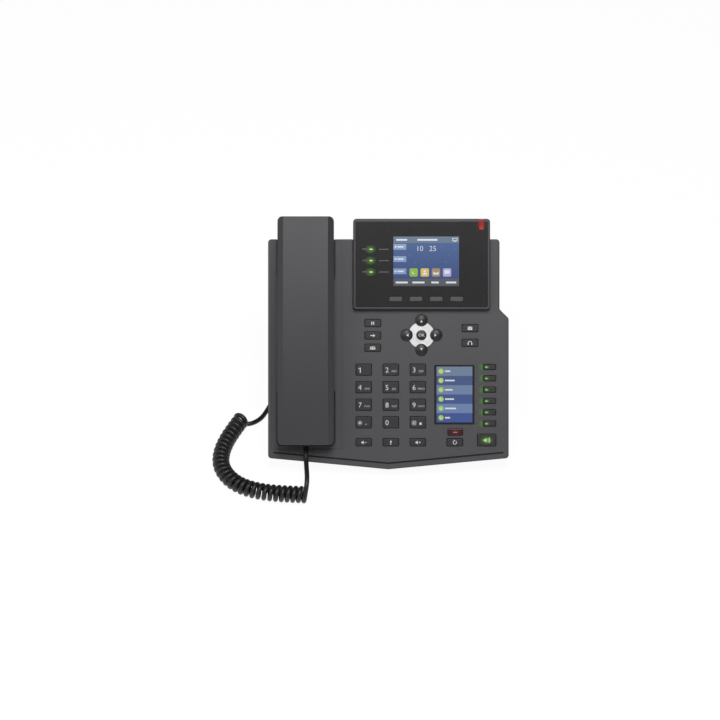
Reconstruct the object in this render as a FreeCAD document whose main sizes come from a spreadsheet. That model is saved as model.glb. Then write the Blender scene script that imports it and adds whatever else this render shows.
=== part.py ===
import FreeCAD, Part
import math
import os
from types import SimpleNamespace

import Sketcher

Vector = FreeCAD.Vector

# Face frame of the phone: x runs to the right, v up along the tilted face from the tip of its
# lower edge, and n out of the face. Levels below are heights n above the main face.
SIZES = (
    ("face_tilt", 50, "angle of the face above the desk, degrees"),
    ("desk_drop", 10.5, "tip of the face above the desk"),
    ("body_width", 210, "across the face"),
    ("body_length", 200.8, "lower tip to upper edge along the face"),
    ("vee_rise", 9.8, "lower edge, corner above the tip"),
    ("step_in", 8, "right side steps in beside the display"),
    ("step_low", 131.7, "start of that step along the face"),
    ("corner_radius", 3, "corners of the face"),
    ("front_depth", 12, "front housing, face to parting line"),
    ("wall", 2.5, "front housing wall"),
    ("edge_round", 1.2, "front housing edge"),
    ("groove_width", 1.4, "groove above the lower edge"),
    ("groove_depth", 1.2, "same, depth"),
    ("groove_inset", 5.3, "same, above the lower tip"),
    ("groove_half", 100.3, "same, half length"),
    ("cradle_left", -102.6, "recess round the handset"),
    ("cradle_right", -40.4, "same, right edge"),
    ("cradle_low", 17.2, "same, lower edge"),
    ("cradle_depth", 0.8, "same, depth"),
    ("well_gap", 1.2, "room round the handset cups"),
    ("well_floor", 6.2, "depth of the handset wells"),
    ("mouth_well_top", 70, "upper end of the mouthpiece well"),
    ("ear_well_low", 164, "lower end of the earpiece well"),
    ("grille_v", 127, "loudspeaker grille, middle"),
    ("grille_slot", 30, "grille slot length"),
    ("grille_width", 1.8, "grille slot width"),
    ("grille_pitch", 4.2, "grille slot spacing"),
    ("grille_count", 8, "grille slots"),
    ("rear_inset", 4, "rear housing inside the front one"),
    ("rear_low", 12, "rear housing lower edge"),
    ("rear_depth", 32, "rear housing back, below the face"),
    ("rear_wall", 2.2, "rear housing wall"),
    ("rear_round", 2, "rear housing back edge"),
    ("foot_flat_v", 5.06, "foot flat, along the back"),
    ("foot_flat_n", 6.03, "foot flat, along the lower wall"),
    ("bay_v", 96, "socket bay, middle"),
    ("bay_tall", 24, "socket bay along the face"),
    ("bay_left", -93, "socket bay, left end"),
    ("bay_right", 52, "socket bay, right end"),
    ("bay_floor", 24, "socket bay floor, below the face"),
    ("bay_corner", 2, "socket bay corners"),
    ("socket_gap", 0.3, "room round a socket"),
    ("small_jack_wide", 11.5, "handset and headset sockets"),
    ("small_jack_tall", 11, "same"),
    ("headset_x", -58, "headset socket"),
    ("network_x", -22, "network socket"),
    ("computer_x", 2, "computer socket"),
    ("network_wide", 15.6, "network and computer sockets"),
    ("network_tall", 13.5, "same"),
    ("network_mouth_wide", 11.8, "their openings"),
    ("network_mouth_tall", 8.2, "same"),
    ("power_x", 36, "power socket"),
    ("power_wide", 9, "same, width"),
    ("power_mouth", 6.2, "same, opening"),
    ("stand_low_v", 118, "stand plate on the back, lower edge"),
    ("stand_high_v", 168, "same, upper edge"),
    ("stand_width", 114, "across the stand"),
    ("stand_wall", 3, "stand wall"),
    ("stand_toe", 2, "stand foot, front corner"),
    ("stand_heel", 4, "same, back corner"),
    ("stand_back", 4, "stand back, behind the upper edge of its plate"),
    ("stand_shoulder", 3, "same, corner"),
    ("stand_lip", 0.5, "same, above that edge"),
    ("stand_foot_front", 133, "stand foot, front edge behind the tip"),
    ("stand_foot_back", 147, "stand foot, back edge behind the tip"),
    ("stand_window", 56, "cable window width"),
    ("window_middle", 55, "same, middle above the foot"),
    ("window_tall", 44, "same, height"),
    ("window_corner", 8, "same, corners"),
    ("window_cut", 24, "same, depth of the cut"),
    ("foot_thick", 3, "rubber foot thickness"),
    ("foot_wide", 22, "rubber foot width"),
    ("foot_deep", 7, "front rubber foot depth"),
    ("foot_deep_rear", 11, "rear rubber foot depth"),
    ("foot_corner", 2, "rubber foot corners"),
    ("foot_front_x", 72, "front feet, either side"),
    ("foot_rear_x", 43, "rear feet, either side"),
    ("display_left", -30.8, "display housing"),
    ("display_right", 88.5, "same, right side"),
    ("display_low", 139.4, "same, lower edge"),
    ("display_high", 218.4, "same, upper edge"),
    ("display_seat", 7.8, "same, floor below the face"),
    ("display_proud", 6.5, "same, front above the face"),
    ("display_radius", 3, "same, corners"),
    ("display_gap", 0.3, "room round it in the front housing"),
    ("rim", 2.1, "display housing rim round the lens"),
    ("ledge", 2.2, "ledge that carries the lens"),
    ("lens_corner", 1.5, "corners of the lens seat"),
    ("lens_edge", 0.3, "lens edge"),
    ("display_floor", 2, "display housing floor"),
    ("lens_thick", 2, "display lens"),
    ("lens_level", 4, "back of the lens above the face"),
    ("lens_gap", 0.15, "room round the lens"),
    ("screen_left", 4.3, "main screen picture"),
    ("screen_low", 159.8, "same, lower edge"),
    ("screen_wide", 57.1, "same, width"),
    ("screen_tall", 43.1, "same, height"),
    ("screen_border", 5.5, "main screen module round its picture"),
    ("screen_border_low", 4.5, "same, below the picture"),
    ("screen_gap", 0.2, "main screen behind the lens"),
    ("post_radius", 2.5, "posts behind it"),
    ("screen_thick", 2.8, "main screen module"),
    ("side_x", 57.55, "side screen window, middle"),
    ("side_v", 65.15, "same, middle"),
    ("side_wide", 35.1, "same, width"),
    ("side_tall", 51.9, "same, height"),
    ("side_glass", 0.9, "side screen below the face"),
    ("side_frame", 1.3, "side screen module round its window"),
    ("light_x", 81, "message light, middle"),
    ("light_wide", 3.6, "same, width"),
    ("light_low", 209.2, "same, lower end"),
    ("light_foot", 0, "same, foot level"),
    ("light_gap", 0.2, "room round the light"),
    ("light_round", 1, "its upper edge"),
    ("key_gap", 0.4, "room round a key in the face"),
    ("key_corner", 1, "corners of the key holes"),
    ("key_flange", 1.2, "key flange beyond its cap"),
    ("key_flange_top", 2.7, "key flange below the face"),
    ("key_flange_thick", 1.5, "same, thickness"),
    ("key_proud", 1.3, "key top above the face"),
    ("key_round", 0.5, "key top edge"),
    ("dial_left", -21.5, "dial pad, left column"),
    ("dial_top", 87, "dial pad, upper row"),
    ("dial_across", 23.6, "dial pad, column spacing"),
    ("dial_down", 15.3, "dial pad, row spacing"),
    ("dial_wide", 14.3, "dial key hole"),
    ("dial_tall", 10.5, "same"),
    ("bottom_v", 23.7, "bottom row of keys"),
    ("small_tall", 7.1, "small key hole"),
    ("call_x", -13.7, "left function keys"),
    ("call_top", 127.6, "same, upper one"),
    ("call_down", 10.75, "same, spacing"),
    ("call_wide", 14.6, "same, hole"),
    ("aux_x", 71.1, "right function keys"),
    ("aux_top", 123.2, "same, upper one"),
    ("aux_down", 12.8, "same, spacing"),
    ("redial_x", 57.9, "redial key"),
    ("page_x", 58.3, "page key"),
    ("page_v", 32.5, "same"),
    ("page_wide", 13.7, "same, hole"),
    ("page_tall", 6.2, "same"),
    ("speaker_x", 85.7, "speaker key"),
    ("speaker_v", 25.6, "same"),
    ("speaker_wide", 16.9, "same, hole"),
    ("speaker_tall", 11, "same"),
    ("memory_x", 88.3, "memory keys"),
    ("memory_top", 89.3, "same, upper one"),
    ("memory_down", 9.86, "same, spacing"),
    ("memory_wide", 11.4, "same, hole"),
    ("memory_tall", 5.3, "same"),
    ("line_x", -18.15, "line keys in the lens"),
    ("line_top", 191.9, "same, upper one"),
    ("line_down", 9.9, "same, spacing"),
    ("line_wide", 10.3, "same, hole"),
    ("line_tall", 2.5, "same"),
    ("soft_left", 6.3, "soft keys in the lens, left one"),
    ("soft_across", 17.67, "same, spacing"),
    ("soft_v", 148.5, "same"),
    ("soft_wide", 11.8, "same, hole"),
    ("soft_tall", 4.8, "same"),
    ("lens_key_gap", 0.3, "room round a key in the lens"),
    ("lens_key_proud", 0.6, "lens key above the lens"),
    ("lens_key_seat", 0.2, "lens key flange behind the lens"),
    ("lens_key_flange", 1.2, "lens key flange thickness"),
    ("nav_x", 28.8, "navigation pad, middle"),
    ("nav_v", 117.1, "same"),
    ("nav_plate", 11.4, "silver plate radius"),
    ("nav_rim", 1, "raised rim on the plate"),
    ("nav_seat", 1.5, "plate seat below the face"),
    ("nav_floor", 0.8, "plate top inside its rim"),
    ("nav_rim_top", 1.3, "rim above the face"),
    ("dome_reach", 12.9, "direction keys from the middle"),
    ("dome_radius", 5, "direction key radius"),
    ("dome_side", 0.9, "direction key side above the face"),
    ("dome_crown", 2, "direction key crown above the face"),
    ("dome_flange", 0.9, "round key flange beyond its cap"),
    ("ok_radius", 4.2, "OK key radius"),
    ("ok_proud", 1.5, "OK key above the face"),
    ("ok_dome", 0.3, "rise of its domed top"),
    ("hand_x", -71.9, "handset, middle"),
    ("hand_wide", 48.8, "handset width"),
    ("hand_low", 21.7, "handset lower end"),
    ("hand_high", 219.8, "handset upper end"),
    ("hand_crown", 27, "handset back above the face at its middle"),
    ("hand_bow", 6.5, "rise of the back between its ends"),
    ("hand_parting", 10.5, "parting line below the back"),
    ("hand_seam", 0.3, "gap at the parting line"),
    ("hand_corner", 4, "handset end corners"),
    ("hand_bevel", 5, "bevel across the long edges"),
    ("hand_bevel_drop", 3.5, "same, height"),
    ("hand_wall", 2.2, "handset wall"),
    ("hand_grip", 8.5, "underside of the grip above the face"),
    ("grip_bow", 1.5, "hollow of the grip"),
    ("room_corner", 3, "corners inside the cups"),
    ("slit_long", 14, "sound slits"),
    ("slit_wide", 1.6, "same, width"),
    ("slit_pitch", 3.2, "same, spacing"),
    ("slit_corner", 0.7, "same, corners"),
    ("mouth_slit", 30, "upper mouth slit above the lower end"),
    ("ear_slit", 6, "upper ear slit above the capsule's middle"),
    ("cup_depth", 5, "cups below the face"),
    ("mouth_cup_top", 62, "mouthpiece cup, upper end"),
    ("mouth_neck", 78, "same, where the grip starts"),
    ("ear_cup_low", 172, "earpiece cup, lower end"),
    ("ear_neck", 156, "same, where the grip ends"),
    ("cup_round", 2.5, "edge of the cups"),
    ("receiver_v", 195, "receiver capsule, middle"),
    ("receiver_radius", 14, "receiver capsule radius"),
    ("receiver_rim", 3, "receiver rim height"),
    ("receiver_step", 4, "receiver step in"),
    ("receiver_shoulder", 4.5, "receiver height at the step"),
    ("receiver_tall", 8, "receiver height"),
    ("cone_frame", 19, "loudspeaker frame radius"),
    ("cone_frame_thick", 2, "same, thickness"),
    ("cone_mouth", 16.5, "loudspeaker cone, outer radius"),
    ("cone_throat", 4.5, "same, depth at the magnet"),
    ("cone_middle", 5.5, "same, depth at its middle"),
    ("basket_radius", 17, "loudspeaker basket, upper radius"),
    ("basket_top", 2.5, "same, below the frame's front"),
    ("basket_foot", 12, "same, lower radius"),
    ("basket_deep", 8, "same, lower end"),
    ("magnet_radius", 9, "loudspeaker magnet"),
    ("magnet_front", 9, "same, front"),
    ("magnet_back", 14, "same, back"),
    ("hook_v", 180, "hook plunger, middle"),
    ("hook_wide", 10, "hook plunger cap"),
    ("hook_tall", 6, "same"),
    ("hook_gap", 0.3, "plunger below the handset"),
    ("hook_corner", 0.8, "plunger corners"),
    ("hook_flange", 2, "plunger flange beyond its cap"),
    ("hook_travel", 3, "plunger travel"),
    ("board_top", 6, "main board below the face"),
    ("board_thick", 1.6, "main board"),
    ("board_right", 99, "main board, right edge"),
    ("board_left", -37, "same, left edge of its main field"),
    ("board_arm", -97, "same, left edge of the socket arm"),
    ("board_low", 17, "same, lower edge"),
    ("board_high", 135, "same, upper edge"),
    ("board_step", 4, "same, slant below the step"),
    ("board_arm_inset", 2, "socket arm inside the bay"),
    ("plug_wide", 7.6, "modular plug"),
    ("plug_tall", 6.6, "same"),
    ("plug_long", 12, "same"),
    ("plug_gap", 0.5, "room round a plug, and plug end outside its socket"),
    ("plug_room", 0.8, "room behind a plug"),
    ("plug_level", 5, "handset plug above the face"),
    ("base_jack_x", -80, "handset socket in the bay"),
    ("cord_wire", 3.6, "curly cord, wire diameter"),
    ("curl_radius", 5.5, "curls, radius of the wire's centreline"),
    ("curl_lift", 8, "curls, axis above the desk"),
    ("curl_count", 29, "whole curls"),
)

# Route of the cord on the desk: x to the right of the phone's middle, y behind the tip of its face,
# and z above the desk.
CURL_AXIS = ((-72, -29.9), (-93, -28.9), (-113, -25.6), (-129, -18.6), (-140, -7.4),
             (-146.4, 7), (-147, 22), (-143.6, 38), (-137.4, 54), (-129.7, 70.5))
BASE_LEAD = ((-112.2, 70.5, 2), (-106.6, 79.3, 2), (-103, 90.6, 2), (-101.8, 103, 2), (-102, 117, 2),
             (-96.5, 128, 2.5), (-87, 131.5, 8), (-81.5, 127, 20), (-80, 118.5, 33), (-80, 106, 44.5))
LEAD_OUT = 14  # straight run of the cord at either plug
HAND_RUN = 14  # straight run into the first curl
BASE_RUN = 9  # straight run out of the last curl

doc = FreeCAD.newDocument("desk_phone")
sheet = doc.addObject("Spreadsheet::Sheet", "dims")
for row, (alias, number, note) in enumerate(SIZES, start=1):
    sheet.set(f"A{row}", note)
    sheet.set(f"B{row}", str(number))
    sheet.setAlias(f"B{row}", alias)
doc.recompute()


class Size:
    """A size of the phone: its number now, and the expression that gives it in the document."""

    def __init__(self, number, text):
        self.number = number
        self.text = text

    def __add__(self, other):
        other = size_of(other)
        return Size(self.number + other.number, f"({self.text} + {other.text})")

    def __sub__(self, other):
        other = size_of(other)
        return Size(self.number - other.number, f"({self.text} - {other.text})")

    def __mul__(self, other):
        other = size_of(other)
        return Size(self.number * other.number, f"({self.text} * {other.text})")

    def __truediv__(self, other):
        other = size_of(other)
        return Size(self.number / other.number, f"({self.text} / {other.text})")

    def __neg__(self):
        return Size(-self.number, f"(0 - {self.text})")


def size_of(value):
    if isinstance(value, Size):
        return value
    return Size(float(value), f"({float(value)})")


p = SimpleNamespace(**{a: Size(float(sheet.get(a)), f"dims.{a}") for a, _, _ in SIZES})
half_body = p.body_width / 2
lens_top = p.lens_level + p.lens_thick
pieces = {}
offsets = {}


def bind(thing, name, size):
    thing.setExpression(name, size_of(size).text)


def new_body(label, x=0, v=0, n=0):
    """A sub-part made of sketches and features, drawn about the point (x, v, n) of the face."""
    body = doc.addObject("PartDesign::Body", label)
    body.Label = label
    pieces[label] = body
    offsets[label] = Vector(size_of(x).number, size_of(v).number, size_of(n).number)
    return body


def origin_of(body, role):
    return next(f for f in body.Origin.OriginFeatures if f.Role == role)


def new_sketch(body, name, level=0, plane="XY_Plane"):
    sketch = body.newObject("Sketcher::SketchObject", f"{body.Name}_{name}")
    sketch.AttachmentSupport = [(origin_of(body, plane), "")]
    sketch.MapMode = "FlatFace"
    bind(sketch, "AttachmentOffset.Base.z", level)
    return sketch


def held(geometry, end, x, y):
    """Rules that fix one end of a line, arc or point at sizes measured from the sketch origin."""
    return [(Sketcher.Constraint(kind, -1, 1, geometry, end, size.number), size)
            for kind, size in (("DistanceX", size_of(x)), ("DistanceY", size_of(y)))]


def round_as(geometry, radius):
    """The rule that gives an arc or circle its radius."""
    radius = size_of(radius)
    return Sketcher.Constraint("Radius", geometry, radius.number), radius


def add_rules(sketch, rules):
    """Add constraints to a sketch, and bind those that come with a size."""
    first = sketch.ConstraintCount
    sketch.addConstraint([rule for rule, _ in rules])
    for index, (_, size) in enumerate(rules, start=first):
        if size is not None:
            sketch.setExpression(f"Constraints[{index}]", size.text)


def counter_arc(centre, start, end):
    """The arc from start to end, counter-clockwise."""
    circle = Part.Circle(centre, Vector(0, 0, 1), (start - centre).Length)
    first = math.atan2(start.y - centre.y, start.x - centre.x)
    last = math.atan2(end.y - centre.y, end.x - centre.x)
    if last < first:
        last += 2 * math.pi
    return Part.ArcOfCircle(circle, first, last)


def outline(sketch, corners, bows=None):
    """A closed counter-clockwise outline. A corner is (x, y) or (x, y, radius), and the side after
    corner i is an arc where bows[i] gives its radius: it swells outwards, or inwards if negative."""
    bows = bows or {}
    count = len(corners)
    knots = [Vector(size_of(c[0]).number, size_of(c[1]).number, 0) for c in corners]
    rounds = {i: size_of(c[2]) for i, c in enumerate(corners) if len(c) > 2}
    starts = list(knots)
    ends = [knots[(i + 1) % count] for i in range(count)]
    for i, radius in rounds.items():
        back = (knots[i - 1] - knots[i]).normalize()
        on = (knots[(i + 1) % count] - knots[i]).normalize()
        trim = radius.number / math.tan(back.getAngle(on) / 2)
        ends[i - 1] = knots[i] + back * trim
        starts[i] = knots[i] + on * trim

    first = sketch.GeometryCount
    shapes = []
    sides = []
    for i in range(count):
        sides.append((first + i, 1, 2))
        if i not in bows:
            shapes.append(Part.LineSegment(starts[i], ends[i]))
            continue
        radius = size_of(bows[i]).number
        chord = ends[i] - starts[i]
        inward = Vector(-chord.y, chord.x, 0).normalize()
        reach = math.sqrt(radius ** 2 - chord.Length ** 2 / 4)
        middle = (starts[i] + ends[i]) / 2
        if radius > 0:
            shapes.append(counter_arc(middle + inward * reach, starts[i], ends[i]))
        else:
            shapes.append(counter_arc(middle - inward * reach, ends[i], starts[i]))
            sides[i] = (first + i, 2, 1)

    rules = []
    points = []
    for i in range(count):
        last, this = sides[i - 1], sides[i]
        if i not in rounds:
            rules.append((Sketcher.Constraint("Coincident", last[0], last[2], this[0], this[1]), None))
            rules += held(this[0], this[1], *corners[i])
            continue
        back = (knots[i - 1] - knots[i]).normalize()
        on = (knots[(i + 1) % count] - knots[i]).normalize()
        middle = (back + on).normalize()
        centre = knots[i] + middle * (rounds[i].number / math.sin(back.getAngle(on) / 2))
        convex = back.cross(on).z < 0
        near, far = (ends[i - 1], starts[i]) if convex else (starts[i], ends[i - 1])
        arc = first + len(shapes)
        shapes.append(counter_arc(centre, near, far))
        arc_in, arc_out = (1, 2) if convex else (2, 1)
        point = first + count + len(rounds) + len(points)
        points.append(Part.Point(knots[i]))
        rules.append((Sketcher.Constraint("Tangent", last[0], last[2], arc, arc_in), None))
        rules.append((Sketcher.Constraint("Tangent", this[0], this[1], arc, arc_out), None))
        rules.append((Sketcher.Constraint("PointOnObject", point, 1, last[0]), None))
        rules.append((Sketcher.Constraint("PointOnObject", point, 1, this[0]), None))
        rules += held(point, 1, corners[i][0], corners[i][1])
        rules.append(round_as(arc, rounds[i]))
    for i, radius in bows.items():
        rules.append(round_as(sides[i][0], radius if size_of(radius).number > 0 else -radius))
    sketch.addGeometry(shapes)
    if points:
        sketch.addGeometry(points, True)
    add_rules(sketch, rules)


def box_outline(sketch, left, low, right, high, radius=None):
    corners = ((left, low), (right, low), (right, high), (left, high))
    outline(sketch, corners if radius is None else [c + (radius,) for c in corners])


def centred_outline(sketch, x, y, wide, tall, radius=None):
    wide = size_of(wide) / 2
    tall = size_of(tall) / 2
    x = size_of(x)
    y = size_of(y)
    box_outline(sketch, x - wide, y - tall, x + wide, y + tall, radius)


def ring(sketch, x, y, radius):
    circle = Part.Circle(Vector(size_of(x).number, size_of(y).number, 0), Vector(0, 0, 1),
                         size_of(radius).number)
    index = sketch.addGeometry(circle)
    add_rules(sketch, held(index, 3, x, y) + [round_as(index, radius)])


def feature_on(body, kind, sketch, length, both_ways, back):
    feature = body.newObject(f"PartDesign::{kind}", f"{sketch.Name}_{kind.lower()}")
    feature.Profile = sketch
    feature.Reversed = back
    if both_ways:
        feature.SideType = "Symmetric"
    feature.Refine = kind == "Pad"
    bind(feature, "Length", length)
    body.Tip = feature
    return feature


def pad(body, sketch, length, both_ways=False, down=False):
    """Add material along the sketch normal, against it, or equally both ways."""
    return feature_on(body, "Pad", sketch, length, both_ways, down)


def pocket(body, sketch, length, both_ways=False, up=False):
    """Remove material against the sketch normal, along it, or equally both ways."""
    doc.recompute()
    before = body.Shape.Volume
    feature = feature_on(body, "Pocket", sketch, length, both_ways, up)
    doc.recompute()
    if body.Shape.Volume > before - 1e-3:
        raise RuntimeError(f"{feature.Name} removes nothing")
    return feature


def repeat(body, feature, x_step=None, x_count=1, y_step=None, y_count=1):
    """Repeat a feature along the face: to the right by x_step and downwards by y_step."""
    pattern = body.newObject("PartDesign::LinearPattern", f"{feature.Name}_row")
    pattern.Originals = [feature]
    pattern.Refine = False
    rows = [(s, c, axis, back) for s, c, axis, back in
            ((x_step, x_count, "X_Axis", False), (y_step, y_count, "Y_Axis", True)) if s is not None]
    for place, (step, count, axis, back) in zip(("", "2"), rows):
        setattr(pattern, f"Direction{place}", (origin_of(body, axis), [""]))
        setattr(pattern, f"Reversed{place}", back)
        bind(pattern, f"Length{place}", size_of(step) * (count - 1))
        setattr(pattern, f"Occurrences{place}", count)
    body.Tip = pattern
    doc.recompute()
    return pattern


def edges_where(body, test):
    doc.recompute()
    return [f"Edge{i}" for i, edge in enumerate(body.Tip.Shape.Edges, start=1) if test(edge)]


def fillet(body, radius, test):
    names = edges_where(body, test)
    base = body.Tip
    feature = body.newObject("PartDesign::Fillet", f"{base.Name}_fillet")
    feature.Base = (base, names)
    bind(feature, "Radius", radius)
    body.Tip = feature
    return feature


def chamfer(body, size, size2, test, flip=False):
    names = edges_where(body, test)
    base = body.Tip
    feature = body.newObject("PartDesign::Chamfer", f"{base.Name}_chamfer")
    feature.Base = (base, names)
    feature.ChamferType = "Two distances"
    feature.FlipDirection = flip
    bind(feature, "Size", size)
    bind(feature, "Size2", size2)
    body.Tip = feature
    return feature


def at_level(level):
    """Edges that lie wholly at one height."""
    number = size_of(level).number
    return lambda edge: max(abs(edge.BoundBox.ZMin - number), abs(edge.BoundBox.ZMax - number)) < 1e-4


def revolve(body, sketch):
    feature = body.newObject("PartDesign::Revolution", f"{sketch.Name}_turn")
    feature.Profile = sketch
    feature.ReferenceAxis = (origin_of(body, "Z_Axis"), [""])
    feature.Angle = 360
    body.Tip = feature
    return feature


def face_keys():
    """The flat keys of the face: name, middle and hole size."""
    dial_names = ("key_1", "key_2", "key_3", "key_4", "key_5", "key_6",
                  "key_7", "key_8", "key_9", "key_star", "key_0", "key_hash")
    keys = []
    for i, name in enumerate(dial_names):
        x = p.dial_left + p.dial_across * (i % 3)
        v = p.dial_top - p.dial_down * (i // 3)
        keys.append((name, x, v, p.dial_wide, p.dial_tall))
    for i, name in enumerate(("volume_down_key", "mute_key", "volume_up_key")):
        keys.append((name, p.dial_left + p.dial_across * i, p.bottom_v, p.dial_wide, p.small_tall))
    for i, name in enumerate(("hold_key", "transfer_key", "conference_key")):
        keys.append((name, p.call_x, p.call_top - p.call_down * i, p.call_wide, p.small_tall))
    for i, name in enumerate(("message_key", "headset_key")):
        keys.append((name, p.aux_x, p.aux_top - p.aux_down * i, p.call_wide, p.small_tall))
    for i in range(6):
        v = p.memory_top - p.memory_down * i
        keys.append((f"memory_key_{i + 1}", p.memory_x, v, p.memory_wide, p.memory_tall))
    keys.append(("redial_key", p.redial_x, p.bottom_v, p.call_wide, p.small_tall))
    keys.append(("page_key", p.page_x, p.page_v, p.page_wide, p.page_tall))
    keys.append(("speaker_key", p.speaker_x, p.speaker_v, p.speaker_wide, p.speaker_tall))
    return keys


def make_key(name, x, v, hole, gap, corner, levels):
    """A key: a cap with a rounded top edge on a wider flange that stays behind the panel."""
    flange_top, flange_thick, top = levels
    body = new_body(name, x, v)
    wide = hole[0] - gap * 2
    tall = hole[1] - gap * 2
    cap = new_sketch(body, "cap", flange_top)
    centred_outline(cap, 0, 0, wide, tall, corner)
    pad(body, cap, size_of(top) - flange_top)
    fillet(body, p.key_round, at_level(top))
    flange = new_sketch(body, "flange", flange_top)
    centred_outline(flange, 0, 0, wide + p.key_flange * 2, tall + p.key_flange * 2, corner)
    pad(body, flange, flange_thick, down=True)


def make_keys():
    face_levels = (-p.key_flange_top, p.key_flange_thick, p.key_proud)
    for name, x, v, wide, tall in face_keys():
        make_key(name, x, v, (wide, tall), p.key_gap, p.key_corner - p.key_gap / 2, face_levels)
    lens_levels = (p.lens_level - p.lens_key_seat, p.lens_key_flange, lens_top + p.lens_key_proud)
    small_corner = p.key_corner / 2
    for i in range(3):
        v = p.line_top - p.line_down * i
        make_key(f"line_key_{i + 1}", p.line_x, v, (p.line_wide, p.line_tall),
                 p.lens_key_gap, small_corner, lens_levels)
    for i in range(4):
        x = p.soft_left + p.soft_across * i
        make_key(f"soft_key_{i + 1}", x, p.soft_v, (p.soft_wide, p.soft_tall),
                 p.lens_key_gap, small_corner, lens_levels)


def make_round_key(name, x, v, radius, side, crown):
    """A turned key: a disc with a domed top on a flange."""
    body = new_body(name, x, v)
    profile = new_sketch(body, "profile", plane="XZ_Plane")
    rise = size_of(crown) - side
    dome = (radius * radius + rise * rise) / (rise * 2)
    flange = radius + p.dome_flange
    foot = -p.key_flange_top - p.key_flange_thick
    corners = ((0, foot), (flange, foot), (flange, -p.key_flange_top), (radius, -p.key_flange_top),
               (radius, side), (0, crown))
    outline(profile, corners, bows={4: dome})
    revolve(body, profile)


def make_nav_keys():
    for i, name in enumerate(("nav_right_key", "nav_up_key", "nav_left_key", "nav_down_key")):
        turn = math.radians(90 * i)
        x = p.nav_x + p.dome_reach * round(math.cos(turn))
        v = p.nav_v + p.dome_reach * round(math.sin(turn))
        make_round_key(name, x, v, p.dome_radius, p.dome_side, p.dome_crown)
    make_round_key("ok_key", p.nav_x, p.nav_v, p.ok_radius, p.ok_proud - p.ok_dome, p.ok_proud)


def prism(x, v, wide, tall, radius, low, high):
    """An upright block with rounded corners, about the point (x, v) of the face."""
    block = doc.addObject("Part::Box", "opening")
    bind(block, "Length", wide)
    bind(block, "Width", tall)
    bind(block, "Height", size_of(high) - low)
    bind(block, "Placement.Base.x", size_of(x) - wide / 2)
    bind(block, "Placement.Base.y", size_of(v) - tall / 2)
    bind(block, "Placement.Base.z", low)
    block.recompute()
    rounded = doc.addObject("Part::Fillet", "opening_round")
    rounded.Base = block
    upright = [i for i, e in enumerate(block.Shape.Edges, start=1)
               if max(e.BoundBox.XLength, e.BoundBox.YLength) < 1e-4]
    number = size_of(radius).number
    rounded.Edges = [(i, number, number) for i in upright]
    return rounded


def cylinder(name, radius, low, high, x=0, y=0):
    solid = doc.addObject("Part::Cylinder", name)
    bind(solid, "Radius", radius)
    bind(solid, "Height", size_of(high) - low)
    bind(solid, "Placement.Base.x", x)
    bind(solid, "Placement.Base.y", y)
    bind(solid, "Placement.Base.z", low)
    return solid


def nav_cylinders(dome, middle, low, high, x=0, v=0):
    """Upright cylinders at the four direction keys and at the OK key."""
    solids = [cylinder("nav_middle", middle, low, high, x, v)]
    for step_x, step_v in ((1, 0), (0, 1), (-1, 0), (0, -1)):
        solids.append(cylinder("nav_dome", dome, low, high, p.dome_reach * step_x + x,
                               p.dome_reach * step_v + v))
    return solids


def drilled(label, body, holes):
    """A sub-part made of a body with separate openings cut through it."""
    tools = doc.addObject("Part::Compound", f"{label}_openings")
    tools.Links = holes
    result = doc.addObject("Part::Cut", label)
    result.Label = label
    result.Base = body
    result.Tool = tools
    offsets[label] = offsets.pop(body.Label)
    del pieces[body.Label]
    pieces[label] = result
    doc.recompute()
    if result.Shape.Volume > body.Shape.Volume - 1:
        raise RuntimeError(f"{label} has no openings")


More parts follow.
